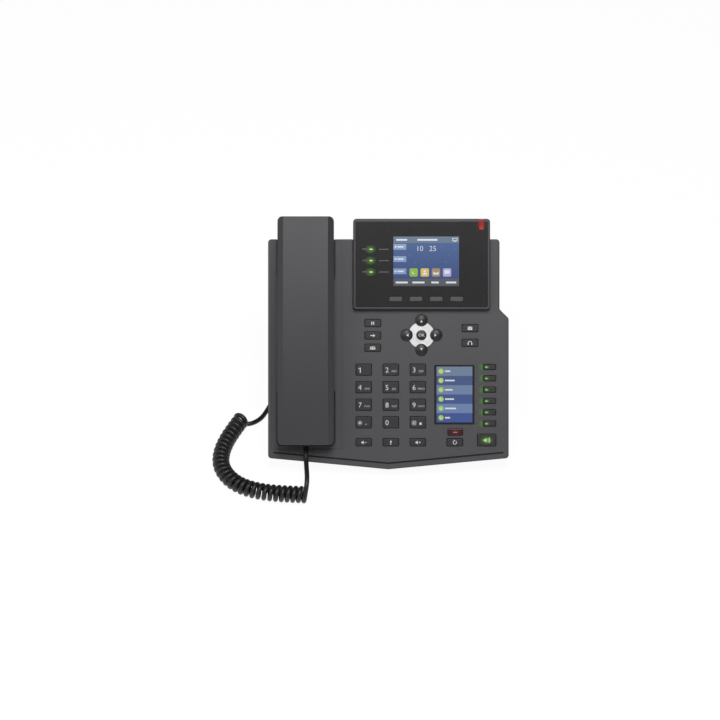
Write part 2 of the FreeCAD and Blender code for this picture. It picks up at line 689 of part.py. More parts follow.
def make_front_housing():
    """The face moulding: a shell with wells for the handset, a seat for the display and key holes."""
    body = new_body("front_shell")
    deep = p.front_depth
    high = p.body_length
    right = half_body - p.step_in
    radius = p.corner_radius
    face = new_sketch(body, "face")
    outline(face, ((0, 0), (half_body, p.vee_rise, radius), (half_body, p.step_low, radius),
                   (right, p.step_low + p.step_in, radius), (right, high, radius),
                   (-half_body, high, radius), (-half_body, p.vee_rise, radius)))
    pad(body, face, deep, down=True)
    fillet(body, p.edge_round, at_level(0))

    inner = half_body - p.wall
    slope = p.wall * math.tan(math.radians(22.5))
    hollow = new_sketch(body, "hollow", -deep)
    outline(hollow, ((0, p.wall), (inner, p.vee_rise + p.wall), (inner, p.step_low - slope),
                     (right - p.wall, p.step_low + p.step_in - slope), (right - p.wall, high - p.wall),
                     (-inner, high - p.wall), (-inner, p.vee_rise + p.wall)))
    pocket(body, hollow, deep - p.wall, up=True)

    seat_left = p.display_left - p.display_gap
    seat_right = p.display_right + p.display_gap
    seat_low = p.display_low - p.display_gap
    well_left = p.hand_x - p.hand_wide / 2 - p.well_gap
    well_right = p.hand_x + p.hand_wide / 2 + p.well_gap
    mouth_low = p.hand_low - p.well_gap
    over = high + 1

    blocks = (("seat", seat_left, seat_low, seat_right, high, p.display_seat),
              ("mouth", well_left, mouth_low, well_right, p.mouth_well_top, p.well_floor),
              ("ear", well_left, p.ear_well_low, well_right, high, p.well_floor))
    for name, left, low, right_side, top, floor in blocks:
        block = new_sketch(body, f"{name}_block", -floor - p.wall)
        top = high - 0.1 if top is high else top + p.wall
        box_outline(block, left - p.wall, low - p.wall, right_side + p.wall, top)
        pad(body, block, floor)

    recess = new_sketch(body, "cradle")
    box_outline(recess, p.cradle_left, p.cradle_low, p.cradle_right, over)
    pocket(body, recess, p.cradle_depth)
    for name, left, low, right_side, top, floor in blocks:
        cut = new_sketch(body, f"{name}_cut")
        corner = p.display_radius if name == "seat" else p.hand_corner
        top = size_of(top) + (radius * 2 if top is high else 0)
        box_outline(cut, left, low, right_side, top, corner)
        pocket(body, cut, floor)

    groove = new_sketch(body, "groove")
    rise = p.vee_rise / half_body * p.groove_half
    low = p.groove_inset - p.groove_width / 2
    top = p.groove_inset + p.groove_width / 2
    outline(groove, ((0, low), (p.groove_half, low + rise), (p.groove_half, top + rise), (0, top),
                     (-p.groove_half, top + rise), (-p.groove_half, low + rise)))
    pocket(body, groove, p.groove_depth)

    plate_seat = new_sketch(body, "plate_seat")
    ring(plate_seat, p.nav_x, p.nav_v, p.nav_plate + p.key_gap)
    pocket(body, plate_seat, p.nav_seat)
    hook = new_sketch(body, "hook", -p.well_floor + 1)
    centred_outline(hook, p.hand_x, p.hook_v, p.hook_wide + p.key_gap * 2,
                    p.hook_tall + p.key_gap * 2, p.key_corner)
    pocket(body, hook, p.wall + 2)

    low = -p.wall - 1
    holes = [prism(x, v, wide, tall, p.key_corner, low, 1) for _, x, v, wide, tall in face_keys()]
    holes.append(prism(p.side_x, p.side_v, p.side_wide, p.side_tall, p.key_corner, low, 1))
    holes += nav_cylinders(p.dome_radius + p.key_gap, p.ok_radius + p.key_gap, low, 1, p.nav_x, p.nav_v)
    for i in range(int(p.grille_count.number)):
        v = p.grille_v + p.grille_pitch * (i - (p.grille_count.number - 1) / 2)
        holes.append(prism(p.hand_x, v, p.grille_slot, p.grille_width, p.grille_width * 0.45, low, 1))
    drilled("front_housing", body, holes)


def make_rear_housing():
    """The back shell: a tray with a socket bay and a flat for the front feet."""
    body = new_body("rear_housing")
    side = half_body - p.rear_inset
    step = side - p.step_in
    high = p.body_length - p.rear_inset
    low_step = p.step_low - p.rear_inset / 2
    back = -p.rear_depth
    tray = new_sketch(body, "tray", back)
    corner = p.corner_radius + 1
    outline(tray, ((-side, p.rear_low, corner), (side, p.rear_low, corner), (side, low_step, corner),
                   (step, low_step + p.step_in, corner), (step, high, corner), (-side, high, corner)))
    pad(body, tray, p.rear_depth - p.front_depth)
    fillet(body, p.rear_round, at_level(back))
    foot_flat = new_sketch(body, "foot_flat", plane="YZ_Plane")
    outline(foot_flat, ((p.rear_low, back + p.foot_flat_n), (p.rear_low, back),
                        (p.rear_low + p.foot_flat_v, back)))
    pocket(body, foot_flat, p.body_width, both_ways=True)

    inner = side - p.rear_wall
    hollow = new_sketch(body, "hollow", -p.front_depth)
    hollow_low = p.rear_low + p.rear_wall + p.foot_flat_v
    outline(hollow, ((-inner, hollow_low), (inner, hollow_low), (inner, low_step - 1),
                     (step - p.rear_wall, low_step + p.step_in - 1),
                     (step - p.rear_wall, high - p.rear_wall), (-inner, high - p.rear_wall)))
    pocket(body, hollow, p.rear_depth - p.front_depth - p.rear_wall)

    half_bay = p.bay_tall / 2
    block = new_sketch(body, "bay_block", back + p.rear_wall / 2)
    box_outline(block, p.bay_left - p.rear_wall, p.bay_v - half_bay - p.rear_wall,
                p.bay_right + p.rear_wall, p.bay_v + half_bay + p.rear_wall)
    pad(body, block, p.rear_depth - p.bay_floor + p.rear_wall / 2)
    bay = new_sketch(body, "bay", back)
    box_outline(bay, p.bay_left, p.bay_v - half_bay, p.bay_right, p.bay_v + half_bay, p.bay_corner)
    pocket(body, bay, p.rear_depth - p.bay_floor, up=True)
    for name, x, wide, tall, _ in sockets():
        hole = new_sketch(body, f"{name}_hole", -p.bay_floor - 1)
        centred_outline(hole, x, p.bay_v, wide + p.socket_gap * 2, tall + p.socket_gap * 2)
        pocket(body, hole, p.rear_wall + 3, up=True)


def sockets():
    """Sockets in the bay: name, middle, body width and height, and its opening."""
    modular = (p.plug_wide + p.plug_gap, p.plug_tall + p.plug_gap)
    network = (p.network_mouth_wide, p.network_mouth_tall)
    return (("handset", p.base_jack_x, p.small_jack_wide, p.small_jack_tall, modular),
            ("headset", p.headset_x, p.small_jack_wide, p.small_jack_tall, modular),
            ("network", p.network_x, p.network_wide, p.network_tall, network),
            ("computer", p.computer_x, p.network_wide, p.network_tall, network),
            ("power", p.power_x, p.power_wide, p.small_jack_tall, (p.power_mouth, p.power_mouth)))


def make_main_board():
    """The circuit board with the sockets soldered to its back."""
    body = new_body("main_board")
    top = -p.board_top
    half_bay = p.bay_tall / 2
    arm_high = p.bay_v + half_bay - p.board_arm_inset
    arm_low = p.bay_v - half_bay + p.board_arm_inset / 2
    board = new_sketch(body, "board", top)
    outline(board, ((p.board_left, p.board_low), (p.board_right, p.board_low),
                    (p.board_right, p.step_low - p.board_step),
                    (p.board_right - p.step_in, p.board_high), (p.board_left, p.board_high),
                    (p.board_left, arm_high), (p.board_arm, arm_high), (p.board_arm, arm_low),
                    (p.board_left, arm_low)))
    pad(body, board, p.board_thick, down=True)
    for name, x, wide, tall, opening in sockets():
        shell = new_sketch(body, f"{name}_socket", top - p.board_thick)
        centred_outline(shell, x, p.bay_v, wide, tall)
        pad(body, shell, p.bay_floor - p.board_top - p.board_thick, down=True)
        mouth = new_sketch(body, f"{name}_mouth", -p.bay_floor)
        centred_outline(mouth, x, p.bay_v, *opening)
        pocket(body, mouth, p.plug_long + p.plug_gap, up=True)


def make_stand():
    """The stand that clips to the back: a channel with a plate on the housing and a foot bar."""
    body = new_body("stand")
    tilt = f"({p.face_tilt.text} * 1 deg)"
    turn = math.radians(p.face_tilt.number)
    cosine = Size(math.cos(turn), f"cos({tilt})")
    sine = Size(math.sin(turn), f"sin({tilt})")

    def on_back(v, depth):
        return v * cosine + depth * sine, v * sine - depth * cosine

    floor = p.foot_thick - p.desk_drop
    low = on_back(p.stand_low_v, p.rear_depth)
    high = on_back(p.stand_high_v, p.rear_depth)
    cheeks = new_sketch(body, "cheeks", plane="YZ_Plane")
    outline(cheeks, (low, (p.stand_foot_front, floor, p.stand_toe),
                     (p.stand_foot_back, floor, p.stand_heel),
                     (high[0] + p.stand_back, high[1] + p.stand_lip, p.stand_shoulder), high))
    pad(body, cheeks, p.stand_width, both_ways=True)
    thick = p.stand_wall
    low_in = on_back(p.stand_low_v - thick * 2, p.rear_depth + thick)
    high_in = on_back(p.stand_high_v - thick, p.rear_depth + thick)
    channel = new_sketch(body, "channel", plane="YZ_Plane")
    outline(channel, (low_in, (p.stand_foot_front - thick * 2, floor + thick),
                      (p.stand_foot_back - thick, floor + thick), high_in))
    pocket(body, channel, p.stand_width - thick * 2, both_ways=True)
    window = new_sketch(body, "window", -p.stand_foot_back - 5, plane="XZ_Plane")
    centred_outline(window, 0, floor + p.window_middle, p.stand_window, p.window_tall, p.window_corner)
    pocket(body, window, p.window_cut, up=True)


def make_rubber_feet():
    """Four rubber pads: two under the lower edge and two under the stand."""
    turn = math.radians(p.face_tilt.number)
    flat = (p.rear_low.number * math.cos(turn)
            + (p.rear_depth - p.foot_flat_n / 2).number * math.sin(turn)
            + p.foot_flat_v.number * math.cos(turn) / 2)
    rear = (p.stand_foot_front.number + p.stand_foot_back.number) / 2
    pads = []
    for side in (-1, 1):
        for x, y, deep in ((p.foot_front_x, flat, p.foot_deep), (p.foot_rear_x, rear, p.foot_deep_rear)):
            foot = doc.addObject("Part::Box", "foot")
            bind(foot, "Length", p.foot_wide)
            bind(foot, "Width", deep)
            bind(foot, "Height", p.foot_thick)
            bind(foot, "Placement.Base.x", x * side - p.foot_wide / 2)
            foot.Placement.Base.y = y - deep.number / 2
            bind(foot, "Placement.Base.z", -p.desk_drop)
            doc.recompute()
            rounded = doc.addObject("Part::Fillet", "foot_round")
            rounded.Base = foot
            upright = [i for i, e in enumerate(foot.Shape.Edges, start=1) if e.BoundBox.ZLength > 1]
            corner = p.foot_corner.number
            rounded.Edges = [(i, corner, corner) for i in upright]
            pads.append(rounded)
    feet = doc.addObject("Part::Compound", "rubber_feet")
    feet.Label = "rubber_feet"
    feet.Links = pads
    pieces["rubber_feet"] = feet


def make_display():
    """Display housing, its lens, the main screen module and the message light."""
    body = new_body("display_housing")
    left, right, low, high = p.display_left, p.display_right, p.display_low, p.display_high
    shell = new_sketch(body, "shell", -p.display_seat)
    box_outline(shell, left, low, right, high, p.display_radius)
    pad(body, shell, p.display_seat + p.display_proud)
    fillet(body, p.edge_round, at_level(p.display_proud))
    lens_seat = new_sketch(body, "lens_seat", p.display_proud)
    box_outline(lens_seat, left + p.rim, low + p.rim, right - p.rim, high - p.rim, p.lens_corner)
    pocket(body, lens_seat, p.display_proud - p.lens_level)
    hollow = new_sketch(body, "hollow", p.lens_level)
    inset = p.rim + p.ledge
    box_outline(hollow, left + inset, low + inset, right - inset, high - inset, p.lens_corner)
    pocket(body, hollow, p.lens_level + p.display_seat - p.display_floor)
    notch = new_sketch(body, "light_notch", p.display_proud + 1)
    half_light = p.light_wide / 2 + p.light_gap
    box_outline(notch, p.light_x - half_light, p.light_low - p.light_gap, p.light_x + half_light, high + 1)
    pocket(body, notch, p.display_proud + 1 - p.light_foot)

    lens = new_body("lens_plate")
    plate = new_sketch(lens, "plate", p.lens_level)
    inset = p.rim + p.lens_gap
    box_outline(plate, left + inset, low + inset, right - inset, high - inset, p.lens_corner - p.lens_gap)
    pad(lens, plate, p.lens_thick)
    fillet(lens, p.lens_edge, at_level(lens_top))
    light_cut = new_sketch(lens, "light_cut", lens_top + 1)
    box_outline(light_cut, p.light_x - half_light, p.light_low - p.light_gap, p.light_x + half_light, high)
    pocket(lens, light_cut, p.lens_thick + 2)
    holes = [prism(p.line_x, p.line_top - p.line_down * i, p.line_wide, p.line_tall, p.key_corner / 2,
                   p.lens_level - 1, lens_top + 1) for i in range(3)]
    holes += [prism(p.soft_left + p.soft_across * i, p.soft_v, p.soft_wide, p.soft_tall, p.key_corner / 2,
                    p.lens_level - 1, lens_top + 1) for i in range(4)]
    drilled("display_lens", lens, holes)

    screen = new_body("main_lcd")
    border = p.screen_border
    module_top = p.lens_level - p.screen_gap
    module = new_sketch(screen, "module", module_top)
    box_outline(module, p.screen_left - border, p.screen_low - p.screen_border_low,
                p.screen_left + p.screen_wide + border, p.screen_low + p.screen_tall + border)
    pad(screen, module, p.screen_thick, down=True)
    posts = new_sketch(screen, "posts", module_top - p.screen_thick)
    for x in (p.screen_left, p.screen_left + p.screen_wide):
        for v in (p.screen_low, p.screen_low + p.screen_tall):
            ring(posts, x, v, p.post_radius)
    pad(screen, posts, module_top - p.screen_thick + p.display_seat - p.display_floor, down=True)

    light = new_body("message_light")
    bar = new_sketch(light, "bar", p.light_foot)
    half = p.light_wide / 2
    box_outline(bar, p.light_x - half, p.light_low, p.light_x + half, high)
    pad(light, bar, p.display_proud - p.light_foot)
    top_v = high.number
    fillet(light, p.light_round, lambda e: at_level(p.display_proud)(e) and e.BoundBox.YMin > top_v - 0.01)


def make_side_screen():
    """The side screen: a module behind the face with its glass standing up in the window."""
    body = new_body("side_lcd")
    module = new_sketch(body, "module", -p.board_top)
    centred_outline(module, p.side_x, p.side_v, p.side_wide + p.side_frame * 2,
                    p.side_tall + p.side_frame * 2)
    pad(body, module, p.board_top - p.key_flange_top)
    glass = new_sketch(body, "glass", -p.key_flange_top)
    centred_outline(glass, p.side_x, p.side_v, p.side_wide - p.key_gap, p.side_tall - p.key_gap,
                    p.key_corner - p.key_gap / 2)
    pad(body, glass, p.key_flange_top - p.side_glass)


def fused(name, solids):
    result = doc.addObject("Part::MultiFuse", name)
    result.Shapes = solids
    return result


def cut(name, base, tool):
    result = doc.addObject("Part::Cut", name)
    result.Base = base
    result.Tool = tool
    return result


def make_nav_ring():
    """The silver plate: a disc with bites for the keys and a raised rim all round."""
    bite = p.dome_radius + p.key_gap
    middle = p.ok_radius + p.lens_key_gap
    disc = cylinder("nav_disc", p.nav_plate, -p.nav_seat, p.nav_rim_top)
    bites = nav_cylinders(bite, middle, -p.nav_seat - 1, p.nav_rim_top + 1)
    plate = cut("nav_plate", disc, fused("nav_bites", bites))
    dish_disc = cylinder("nav_dish_disc", p.nav_plate - p.nav_rim, p.nav_floor, p.nav_rim_top + 1)
    islands = fused("nav_islands", nav_cylinders(bite + p.nav_rim, middle + p.nav_rim * 0.7,
                                                 p.nav_floor - 1, p.nav_rim_top + 2))
    result = cut("nav_ring", plate, cut("nav_dish", dish_disc, islands))
    result.Label = "nav_ring"
    pieces["nav_ring"] = result
    offsets["nav_ring"] = Vector(p.nav_x.number, p.nav_v.number, 0)


def make_loudspeaker():
    """The loudspeaker behind the cradle grille: frame, basket and magnet."""
    body = new_body("loudspeaker", p.hand_x, p.grille_v)
    profile = new_sketch(body, "profile", plane="XZ_Plane")
    top = -p.wall
    outline(profile, ((0, top - p.magnet_back), (p.magnet_radius, top - p.magnet_back),
                      (p.magnet_radius, top - p.magnet_front), (p.basket_foot, top - p.basket_deep),
                      (p.basket_radius, top - p.basket_top), (p.cone_frame, top - p.cone_frame_thick),
                      (p.cone_frame, top), (p.cone_mouth, top), (p.magnet_radius, top - p.cone_throat),
                      (0, top - p.cone_middle)))
    revolve(body, profile)


def make_hook_switch():
    """The hook plunger: held down by the earpiece cup, it rises when the handset is lifted."""
    body = new_body("hook_switch", p.hand_x, p.hook_v)
    top = -p.cup_depth - p.hook_gap
    flange_top = -p.well_floor - p.wall - p.hook_travel - p.hook_gap
    cap = new_sketch(body, "cap", flange_top)
    centred_outline(cap, 0, 0, p.hook_wide, p.hook_tall, p.hook_corner)
    pad(body, cap, top - flange_top)
    fillet(body, p.key_round, at_level(top))
    flange = new_sketch(body, "flange", flange_top)
    centred_outline(flange, 0, 0, p.hook_wide + p.hook_flange * 2, p.hook_tall + p.hook_flange * 2,
                    p.hook_corner)
    pad(body, flange, p.key_flange_thick, down=True)


def bow_radius(chord, rise):
    return (chord * chord / 4 + rise * rise) / (rise * 2)


def long_edges(level_test):
    return lambda e: e.BoundBox.XLength < 0.01 and e.BoundBox.YLength > 100 and level_test(e)


def make_handset():
    """The handset: a bowed back shell and a face shell with the two cups, hollow inside."""
    low, high = p.hand_low, p.hand_high
    length = high - low
    arch = bow_radius(length, p.hand_bow)
    end_top = p.hand_crown - p.hand_bow
    end_parting = end_top - p.hand_parting
    back = new_body("handset_back", p.hand_x)
    side = new_sketch(back, "side", plane="YZ_Plane")
    outline(side, ((low, end_parting), (high, end_parting), (high, end_top), (low, end_top)),
            bows={0: -arch, 2: arch})
    pad(back, side, p.hand_wide, both_ways=True)
    middle_top = p.hand_crown.number
    chamfer(back, p.hand_bevel, p.hand_bevel_drop, long_edges(lambda e: e.BoundBox.ZMax > middle_top - 0.1))
    fillet(back, p.hand_corner, lambda e: e.BoundBox.XLength < 0.01 and e.BoundBox.YLength < 0.01)
    wall = p.hand_wall
    inner = new_sketch(back, "inner", plane="YZ_Plane")
    outline(inner, ((low + wall * 2, end_parting - 3), (high - wall * 2, end_parting - 3),
                    (high - wall * 2, end_top - wall), (low + wall * 2, end_top - wall)),
            bows={2: arch})
    pocket(back, inner, p.hand_wide - p.hand_bevel * 2, both_ways=True)

    face = new_body("handset_face", p.hand_x)
    top = end_parting - p.hand_seam
    foot = -p.cup_depth
    profile = new_sketch(face, "profile", plane="YZ_Plane")
    grip = bow_radius(p.ear_neck - p.mouth_neck, p.grip_bow)
    outline(profile, ((low, foot), (p.mouth_cup_top, foot, p.cup_round),
                      (p.mouth_neck, p.hand_grip), (p.ear_neck, p.hand_grip),
                      (p.ear_cup_low, foot, p.cup_round), (high, foot),
                      (high, top), (low, top)),
            bows={2: -grip, 6: arch})
    pad(face, profile, p.hand_wide, both_ways=True)
    fillet(face, p.hand_corner, lambda e: e.BoundBox.XLength < 0.01 and e.BoundBox.YLength < 0.01)
    hollow_wide = p.hand_wide - wall * 4
    for name, start, end in (("mouth", low + wall * 8, p.mouth_cup_top - wall),
                             ("ear", p.ear_cup_low + wall, high - wall * 2)):
        room = new_sketch(face, f"{name}_room", foot + wall)
        centred_outline(room, 0, (start + end) / 2, hollow_wide, end - start, p.room_corner)
        pocket(face, room, p.hand_crown, up=True)
    for name, v, count in (("mouth", low + p.mouth_slit, 3), ("ear", p.receiver_v + p.ear_slit, 5)):
        slit = new_sketch(face, f"{name}_slit", foot + wall + 1)
        centred_outline(slit, 0, v, p.slit_long, p.slit_wide, p.slit_corner)
        repeat(face, pocket(face, slit, wall + 3), y_step=p.slit_pitch, y_count=count)
    jack = new_sketch(face, "jack", -low - p.plug_long - p.plug_room, plane="XZ_Plane")
    centred_outline(jack, 0, p.plug_level, p.plug_wide + p.plug_gap, p.plug_tall + p.plug_gap)
    pocket(face, jack, p.plug_long + 5, up=True)

    receiver = new_body("handset_receiver", p.hand_x, p.receiver_v, foot + wall)
    turned = new_sketch(receiver, "turned", plane="XZ_Plane")
    rim = p.receiver_radius
    neck = rim - p.receiver_step
    outline(turned, ((0, 0), (rim, 0), (rim, p.receiver_rim), (neck, p.receiver_shoulder),
                     (neck, p.receiver_tall), (0, p.receiver_tall)))
    revolve(receiver, turned)


def make_plug(name, x, v, n):
    """A modular plug drawn along its cord: the cord leaves at the origin, along +z."""
    body = new_body(name, x, v, n)
    shell = new_sketch(body, "shell")
    centred_outline(shell, 0, 0, p.plug_wide, p.plug_tall)
    pad(body, shell, p.plug_long, down=True)


def face_placement(shift):
    """From the face frame to the phone standing on the desk."""
    tilt = FreeCAD.Rotation(Vector(1, 0, 0), p.face_tilt.number)
    return FreeCAD.Placement(Vector(0, shift, p.desk_drop.number), tilt)


def place_pieces(shift):
    """Stand every sub-part on the desk, moved by shift along the depth of the phone."""
    upright = FreeCAD.Placement(Vector(0, shift, p.desk_drop.number), FreeCAD.Rotation())
    tilted = face_placement(shift)
    along_cord = {"handset_plug": FreeCAD.Rotation(Vector(1, 0, 0), 90),
                  "base_plug": FreeCAD.Rotation(Vector(1, 0, 0), 180)}
    for label, piece in pieces.items():
        if label in ("stand", "rubber_feet"):
            piece.Placement = upright
            continue
        spot = FreeCAD.Placement(offsets[label], along_cord.get(label, FreeCAD.Rotation()))
        piece.Placement = tilted.multiply(spot)
    doc.recompute()


def depth_middle():
    """Middle of the phone's box from front to back, without its cord."""
    boxes = [piece.Shape.BoundBox for label, piece in pieces.items() if not label.endswith("_plug")]
    return (min(b.YMin for b in boxes) + max(b.YMax for b in boxes)) / 2


def arc_path(points):
    """Straight runs joined by tangent arcs, each as large as its two runs allow: edges and radii."""
    edges = []
    radii = []
    start = points[0]
    for last, this, following in zip(points, points[1:], points[2:]):
        back = (last - this).normalize()
        on = (following - this).normalize()
        half = (math.pi - back.getAngle(on)) / 2
        trim = 0.45 * min((last - this).Length, (following - this).Length)
        radius = trim / math.tan(half)
        inside = (back + on).normalize()
        middle = this + inside * (radius / math.cos(half) - radius)
        end = this + back * trim
        edges.append(Part.LineSegment(start, end).toShape())
        start = this + on * trim
        edges.append(Part.Arc(end, middle, start).toShape())
        radii.append(radius)
    edges.append(Part.LineSegment(start, points[-1]).toShape())
    return edges, radii


def arc_from(start, knee, end):
    """The arc that leaves start towards knee and reaches end from it."""
    middle = (start + end) / 2
    half_chord = (end - start).Length / 2
    lean = knee - middle
    half_turn = math.atan2(lean.Length, half_chord)
    crest = middle + lean.normalize() * (half_chord * math.tan(half_turn / 2))
    return Part.Arc(start, crest, end).toShape()


def biarc(start, leaving, end, arriving):
    """Two arcs from start to end with the given directions there."""
    reach = end - start
    both = leaving + arriving
    spread = 2 * (1 - leaving.dot(arriving))
    along = reach.dot(both)
    step = (math.sqrt(along ** 2 + spread * reach.dot(reach)) - along) / spread
    knee_in = start + leaving * step
    knee_out = end - arriving * step
    joint = (knee_in + knee_out) / 2
    return [arc_from(start, knee_in, joint), arc_from(joint, knee_out, end)]


def make_cord(shift):
    """The curly cord, one unbroken wire: handset lead, curls lying on the desk, lead to the base plug."""
    def desk(x, y, z):
        return Vector(x, y + shift, z)

    wire = p.cord_wire.number
    radius = p.curl_radius.number
    lift = p.curl_lift.number
    axis_route = [desk(x, y, lift) for x, y in CURL_AXIS]
    axis = Part.Wire(arc_path(axis_route)[0])
    length = axis.Length
    start_phase = math.radians(90 - p.face_tilt.number)
    turns = int(p.curl_count.number) + (start_phase + math.pi / 2) / (2 * math.pi)
    marks = axis.discretize(Number=int(length * 20) + 1)

    def curl(share):
        """Point of the wire's centreline at a share of the curls' length."""
        place = share * (len(marks) - 1)
        index = min(int(place), len(marks) - 2)
        run = marks[index + 1] - marks[index]
        centre = marks[index] + run * (place - index)
        sideways = Vector(0, 0, 1).cross(run).normalize()
        phase = start_phase - share * turns * 2 * math.pi
        return centre + sideways * (radius * math.cos(phase)) + Vector(0, 0, radius * math.sin(phase))

    def heading(share):
        step = 1e-3 / turns
        low = max(share - step, 0)
        high = min(share + step, 1)
        return (curl(high) - curl(low)).normalize()

    count = int(turns * 2 + 0.5)
    shares = [i / count for i in range(count + 1)]
    curls = []
    for first, last in zip(shares, shares[1:]):
        curls += biarc(curl(first), heading(first), curl(last), heading(last))

    tilted = face_placement(shift)
    hand_exit = tilted.multVec(Vector(p.hand_x.number, (p.hand_low - p.plug_gap).number,
                                       p.plug_level.number))
    down_face = tilted.Rotation.multVec(Vector(0, -1, 0))
    hand_route = [hand_exit, hand_exit + down_face * LEAD_OUT]
    hand_route += [curl(0) - heading(0) * HAND_RUN, curl(0)]
    base_exit = tilted.multVec(Vector(p.base_jack_x.number, p.bay_v.number,
                                       -(p.bay_floor + p.plug_gap).number))
    off_back = tilted.Rotation.multVec(Vector(0, 0, -1))
    base_route = [curl(1), curl(1) + heading(1) * BASE_RUN]
    base_route += [desk(*point) for point in BASE_LEAD]
    base_route += [base_exit + off_back * LEAD_OUT, base_exit]
    hand_edges, hand_radii = arc_path(hand_route)
    base_edges, base_radii = arc_path(base_route)
    print("lead radii", [round(r, 1) for r in hand_radii + base_radii])

    path = Part.Wire(hand_edges + curls + base_edges)
    section = Part.Wire(Part.Circle(hand_exit, down_face, wire / 2).toShape())
    tube = path.makePipeShell([section], True, False)
    expected = math.pi * wire ** 2 / 4 * path.Length
    print("cord length", round(path.Length))
    print("cord volume over section times length", round(tube.Volume / expected, 4))
    spots = path.discretize(Distance=0.8)
    apart = int(wire * math.pi / 0.8)
    gap = min((a - b).Length for i, a in enumerate(spots) for b in spots[i + apart:]) - wire
    print("least gap of the cord to itself", round(gap, 2))
    cord = doc.addObject("Part::Feature", "curly_cord")
    cord.Label = "curly_cord"
    cord.Shape = tube
    pieces["curly_cord"] = cord


make_front_housing()
make_rear_housing()
make_main_board()
make_stand()
make_rubber_feet()
make_display()
make_side_screen()
make_keys()
make_nav_keys()
make_nav_ring()
make_loudspeaker()
make_hook_switch()
make_handset()
make_plug("handset_plug", p.hand_x, p.hand_low - p.plug_gap, p.plug_level)
make_plug("base_plug", p.base_jack_x, p.bay_v, -p.bay_floor - p.plug_gap)
place_pieces(0)
centre_shift = -depth_middle()
place_pieces(centre_shift)
make_cord(centre_shift)

faults = [f"{o.Name}: {o.State}" for o in doc.Objects if "Invalid" in o.State or "Error" in o.State]
for label, piece in pieces.items():
    if piece.Shape.isNull() or not piece.Shape.isValid():
        faults.append(f"{label}: no valid shape")
if faults:
    raise RuntimeError("; ".join(faults))
os.makedirs("parts", exist_ok=True)
for label, piece in pieces.items():
    piece.Shape.exportStep(f"parts/{label}.step")
print(len(pieces), "sub-parts")
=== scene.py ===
import bpy
import bmesh
import math
from mathutils import Matrix, Vector


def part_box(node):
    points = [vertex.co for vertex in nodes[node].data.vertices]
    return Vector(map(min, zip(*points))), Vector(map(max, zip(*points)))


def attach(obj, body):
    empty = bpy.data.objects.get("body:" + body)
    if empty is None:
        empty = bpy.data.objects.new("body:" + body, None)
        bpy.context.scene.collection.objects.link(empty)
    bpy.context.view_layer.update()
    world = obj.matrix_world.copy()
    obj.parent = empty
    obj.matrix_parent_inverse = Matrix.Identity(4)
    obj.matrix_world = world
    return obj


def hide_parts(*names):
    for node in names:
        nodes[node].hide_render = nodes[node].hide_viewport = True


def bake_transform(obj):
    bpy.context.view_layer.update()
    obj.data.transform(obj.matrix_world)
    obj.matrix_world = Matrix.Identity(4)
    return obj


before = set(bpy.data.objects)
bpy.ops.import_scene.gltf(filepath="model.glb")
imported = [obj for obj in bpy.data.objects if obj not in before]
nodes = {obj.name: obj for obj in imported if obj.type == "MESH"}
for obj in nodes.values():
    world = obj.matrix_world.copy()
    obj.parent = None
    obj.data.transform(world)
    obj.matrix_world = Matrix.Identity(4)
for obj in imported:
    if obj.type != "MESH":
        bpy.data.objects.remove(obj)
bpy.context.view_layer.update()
mm = 0.001

# the tilted face: x to the right, v up along the face from its lower tip, n out of it, all in mm
face = {"tilt": 50, "tipZ": 10.5, "navV": 117.1, "navN": -0.1}      # the navigation plate's middle is known
tiltCos = math.cos(math.radians(face["tilt"]))
tiltSin = math.sin(math.radians(face["tilt"]))
navMiddle = sum(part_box("nav_ring"), Vector((0, 0, 0))) / 2 / mm
face["tipY"] = navMiddle.y - face["navV"] * tiltCos + face["navN"] * tiltSin
faceMatrix = Matrix((
    (mm, 0, 0, 0),
    (0, mm * tiltCos, -mm * tiltSin, mm * face["tipY"]),
    (0, mm * tiltSin, mm * tiltCos, mm * face["tipZ"]),
    (0, 0, 0, 1),
))
faceUp = Vector((0, tiltCos, tiltSin))
faceOut = Vector((0, -tiltSin, tiltCos))


def facePoint(x, v, n=0):
    return faceMatrix @ Vector((x, v, n))


def deskPoint(x, y, z):
    return Vector((x, y + face["tipY"], z)) * mm


def addObject(name, data):
    made = bpy.data.objects.new(name, data)
    bpy.context.scene.collection.objects.link(made)
    return made


def linear(hexColour):
    channels = [int(hexColour[i:i + 2], 16) / 255 for i in (1, 3, 5)]
    return [c / 12.92 if c <= 0.04045 else ((c + 0.055) / 1.055) ** 2.4 for c in channels] + [1]


def addNode(tree, kind, settings=None, inputs=None):
    node = tree.nodes.new(kind)
    for key, value in (settings or {}).items():
        setattr(node, key, value)
    for key, value in (inputs or {}).items():
        if isinstance(value, bpy.types.NodeSocket):
            tree.links.new(value, node.inputs[key])
        else:
            node.inputs[key].default_value = value
    return node


def newMaterial(name):
    material = bpy.data.materials.new(name)
    material.use_nodes = True
    material.node_tree.nodes.clear()
    return material, material.node_tree


def closeMaterial(tree, shader):
    addNode(tree, "ShaderNodeOutputMaterial", inputs={"Surface": shader.outputs[0]})


def closePrincipled(tree, inputs):
    closeMaterial(tree, addNode(tree, "ShaderNodeBsdfPrincipled", inputs=inputs))


def objectPlace(tree):
    return addNode(tree, "ShaderNodeTexCoord").outputs["Object"]


def noise(tree, size, detail):
    inputs = {"Vector": objectPlace(tree), "Scale": 1 / (size * mm), "Detail": detail}
    return addNode(tree, "ShaderNodeTexNoise", inputs=inputs).outputs[0]


def valueBetween(tree, share, low, high):
    inputs = {"Value": share, "To Min": low, "To Max": high}
    return addNode(tree, "ShaderNodeMapRange", inputs=inputs).outputs[0]


def colourBetween(tree, share, low, high):
    inputs = {0: share, 6: low, 7: high}            # 6 and 7 are the node's colour sockets
    return addNode(tree, "ShaderNodeMix", {"data_type": "RGBA"}, inputs).outputs[2]


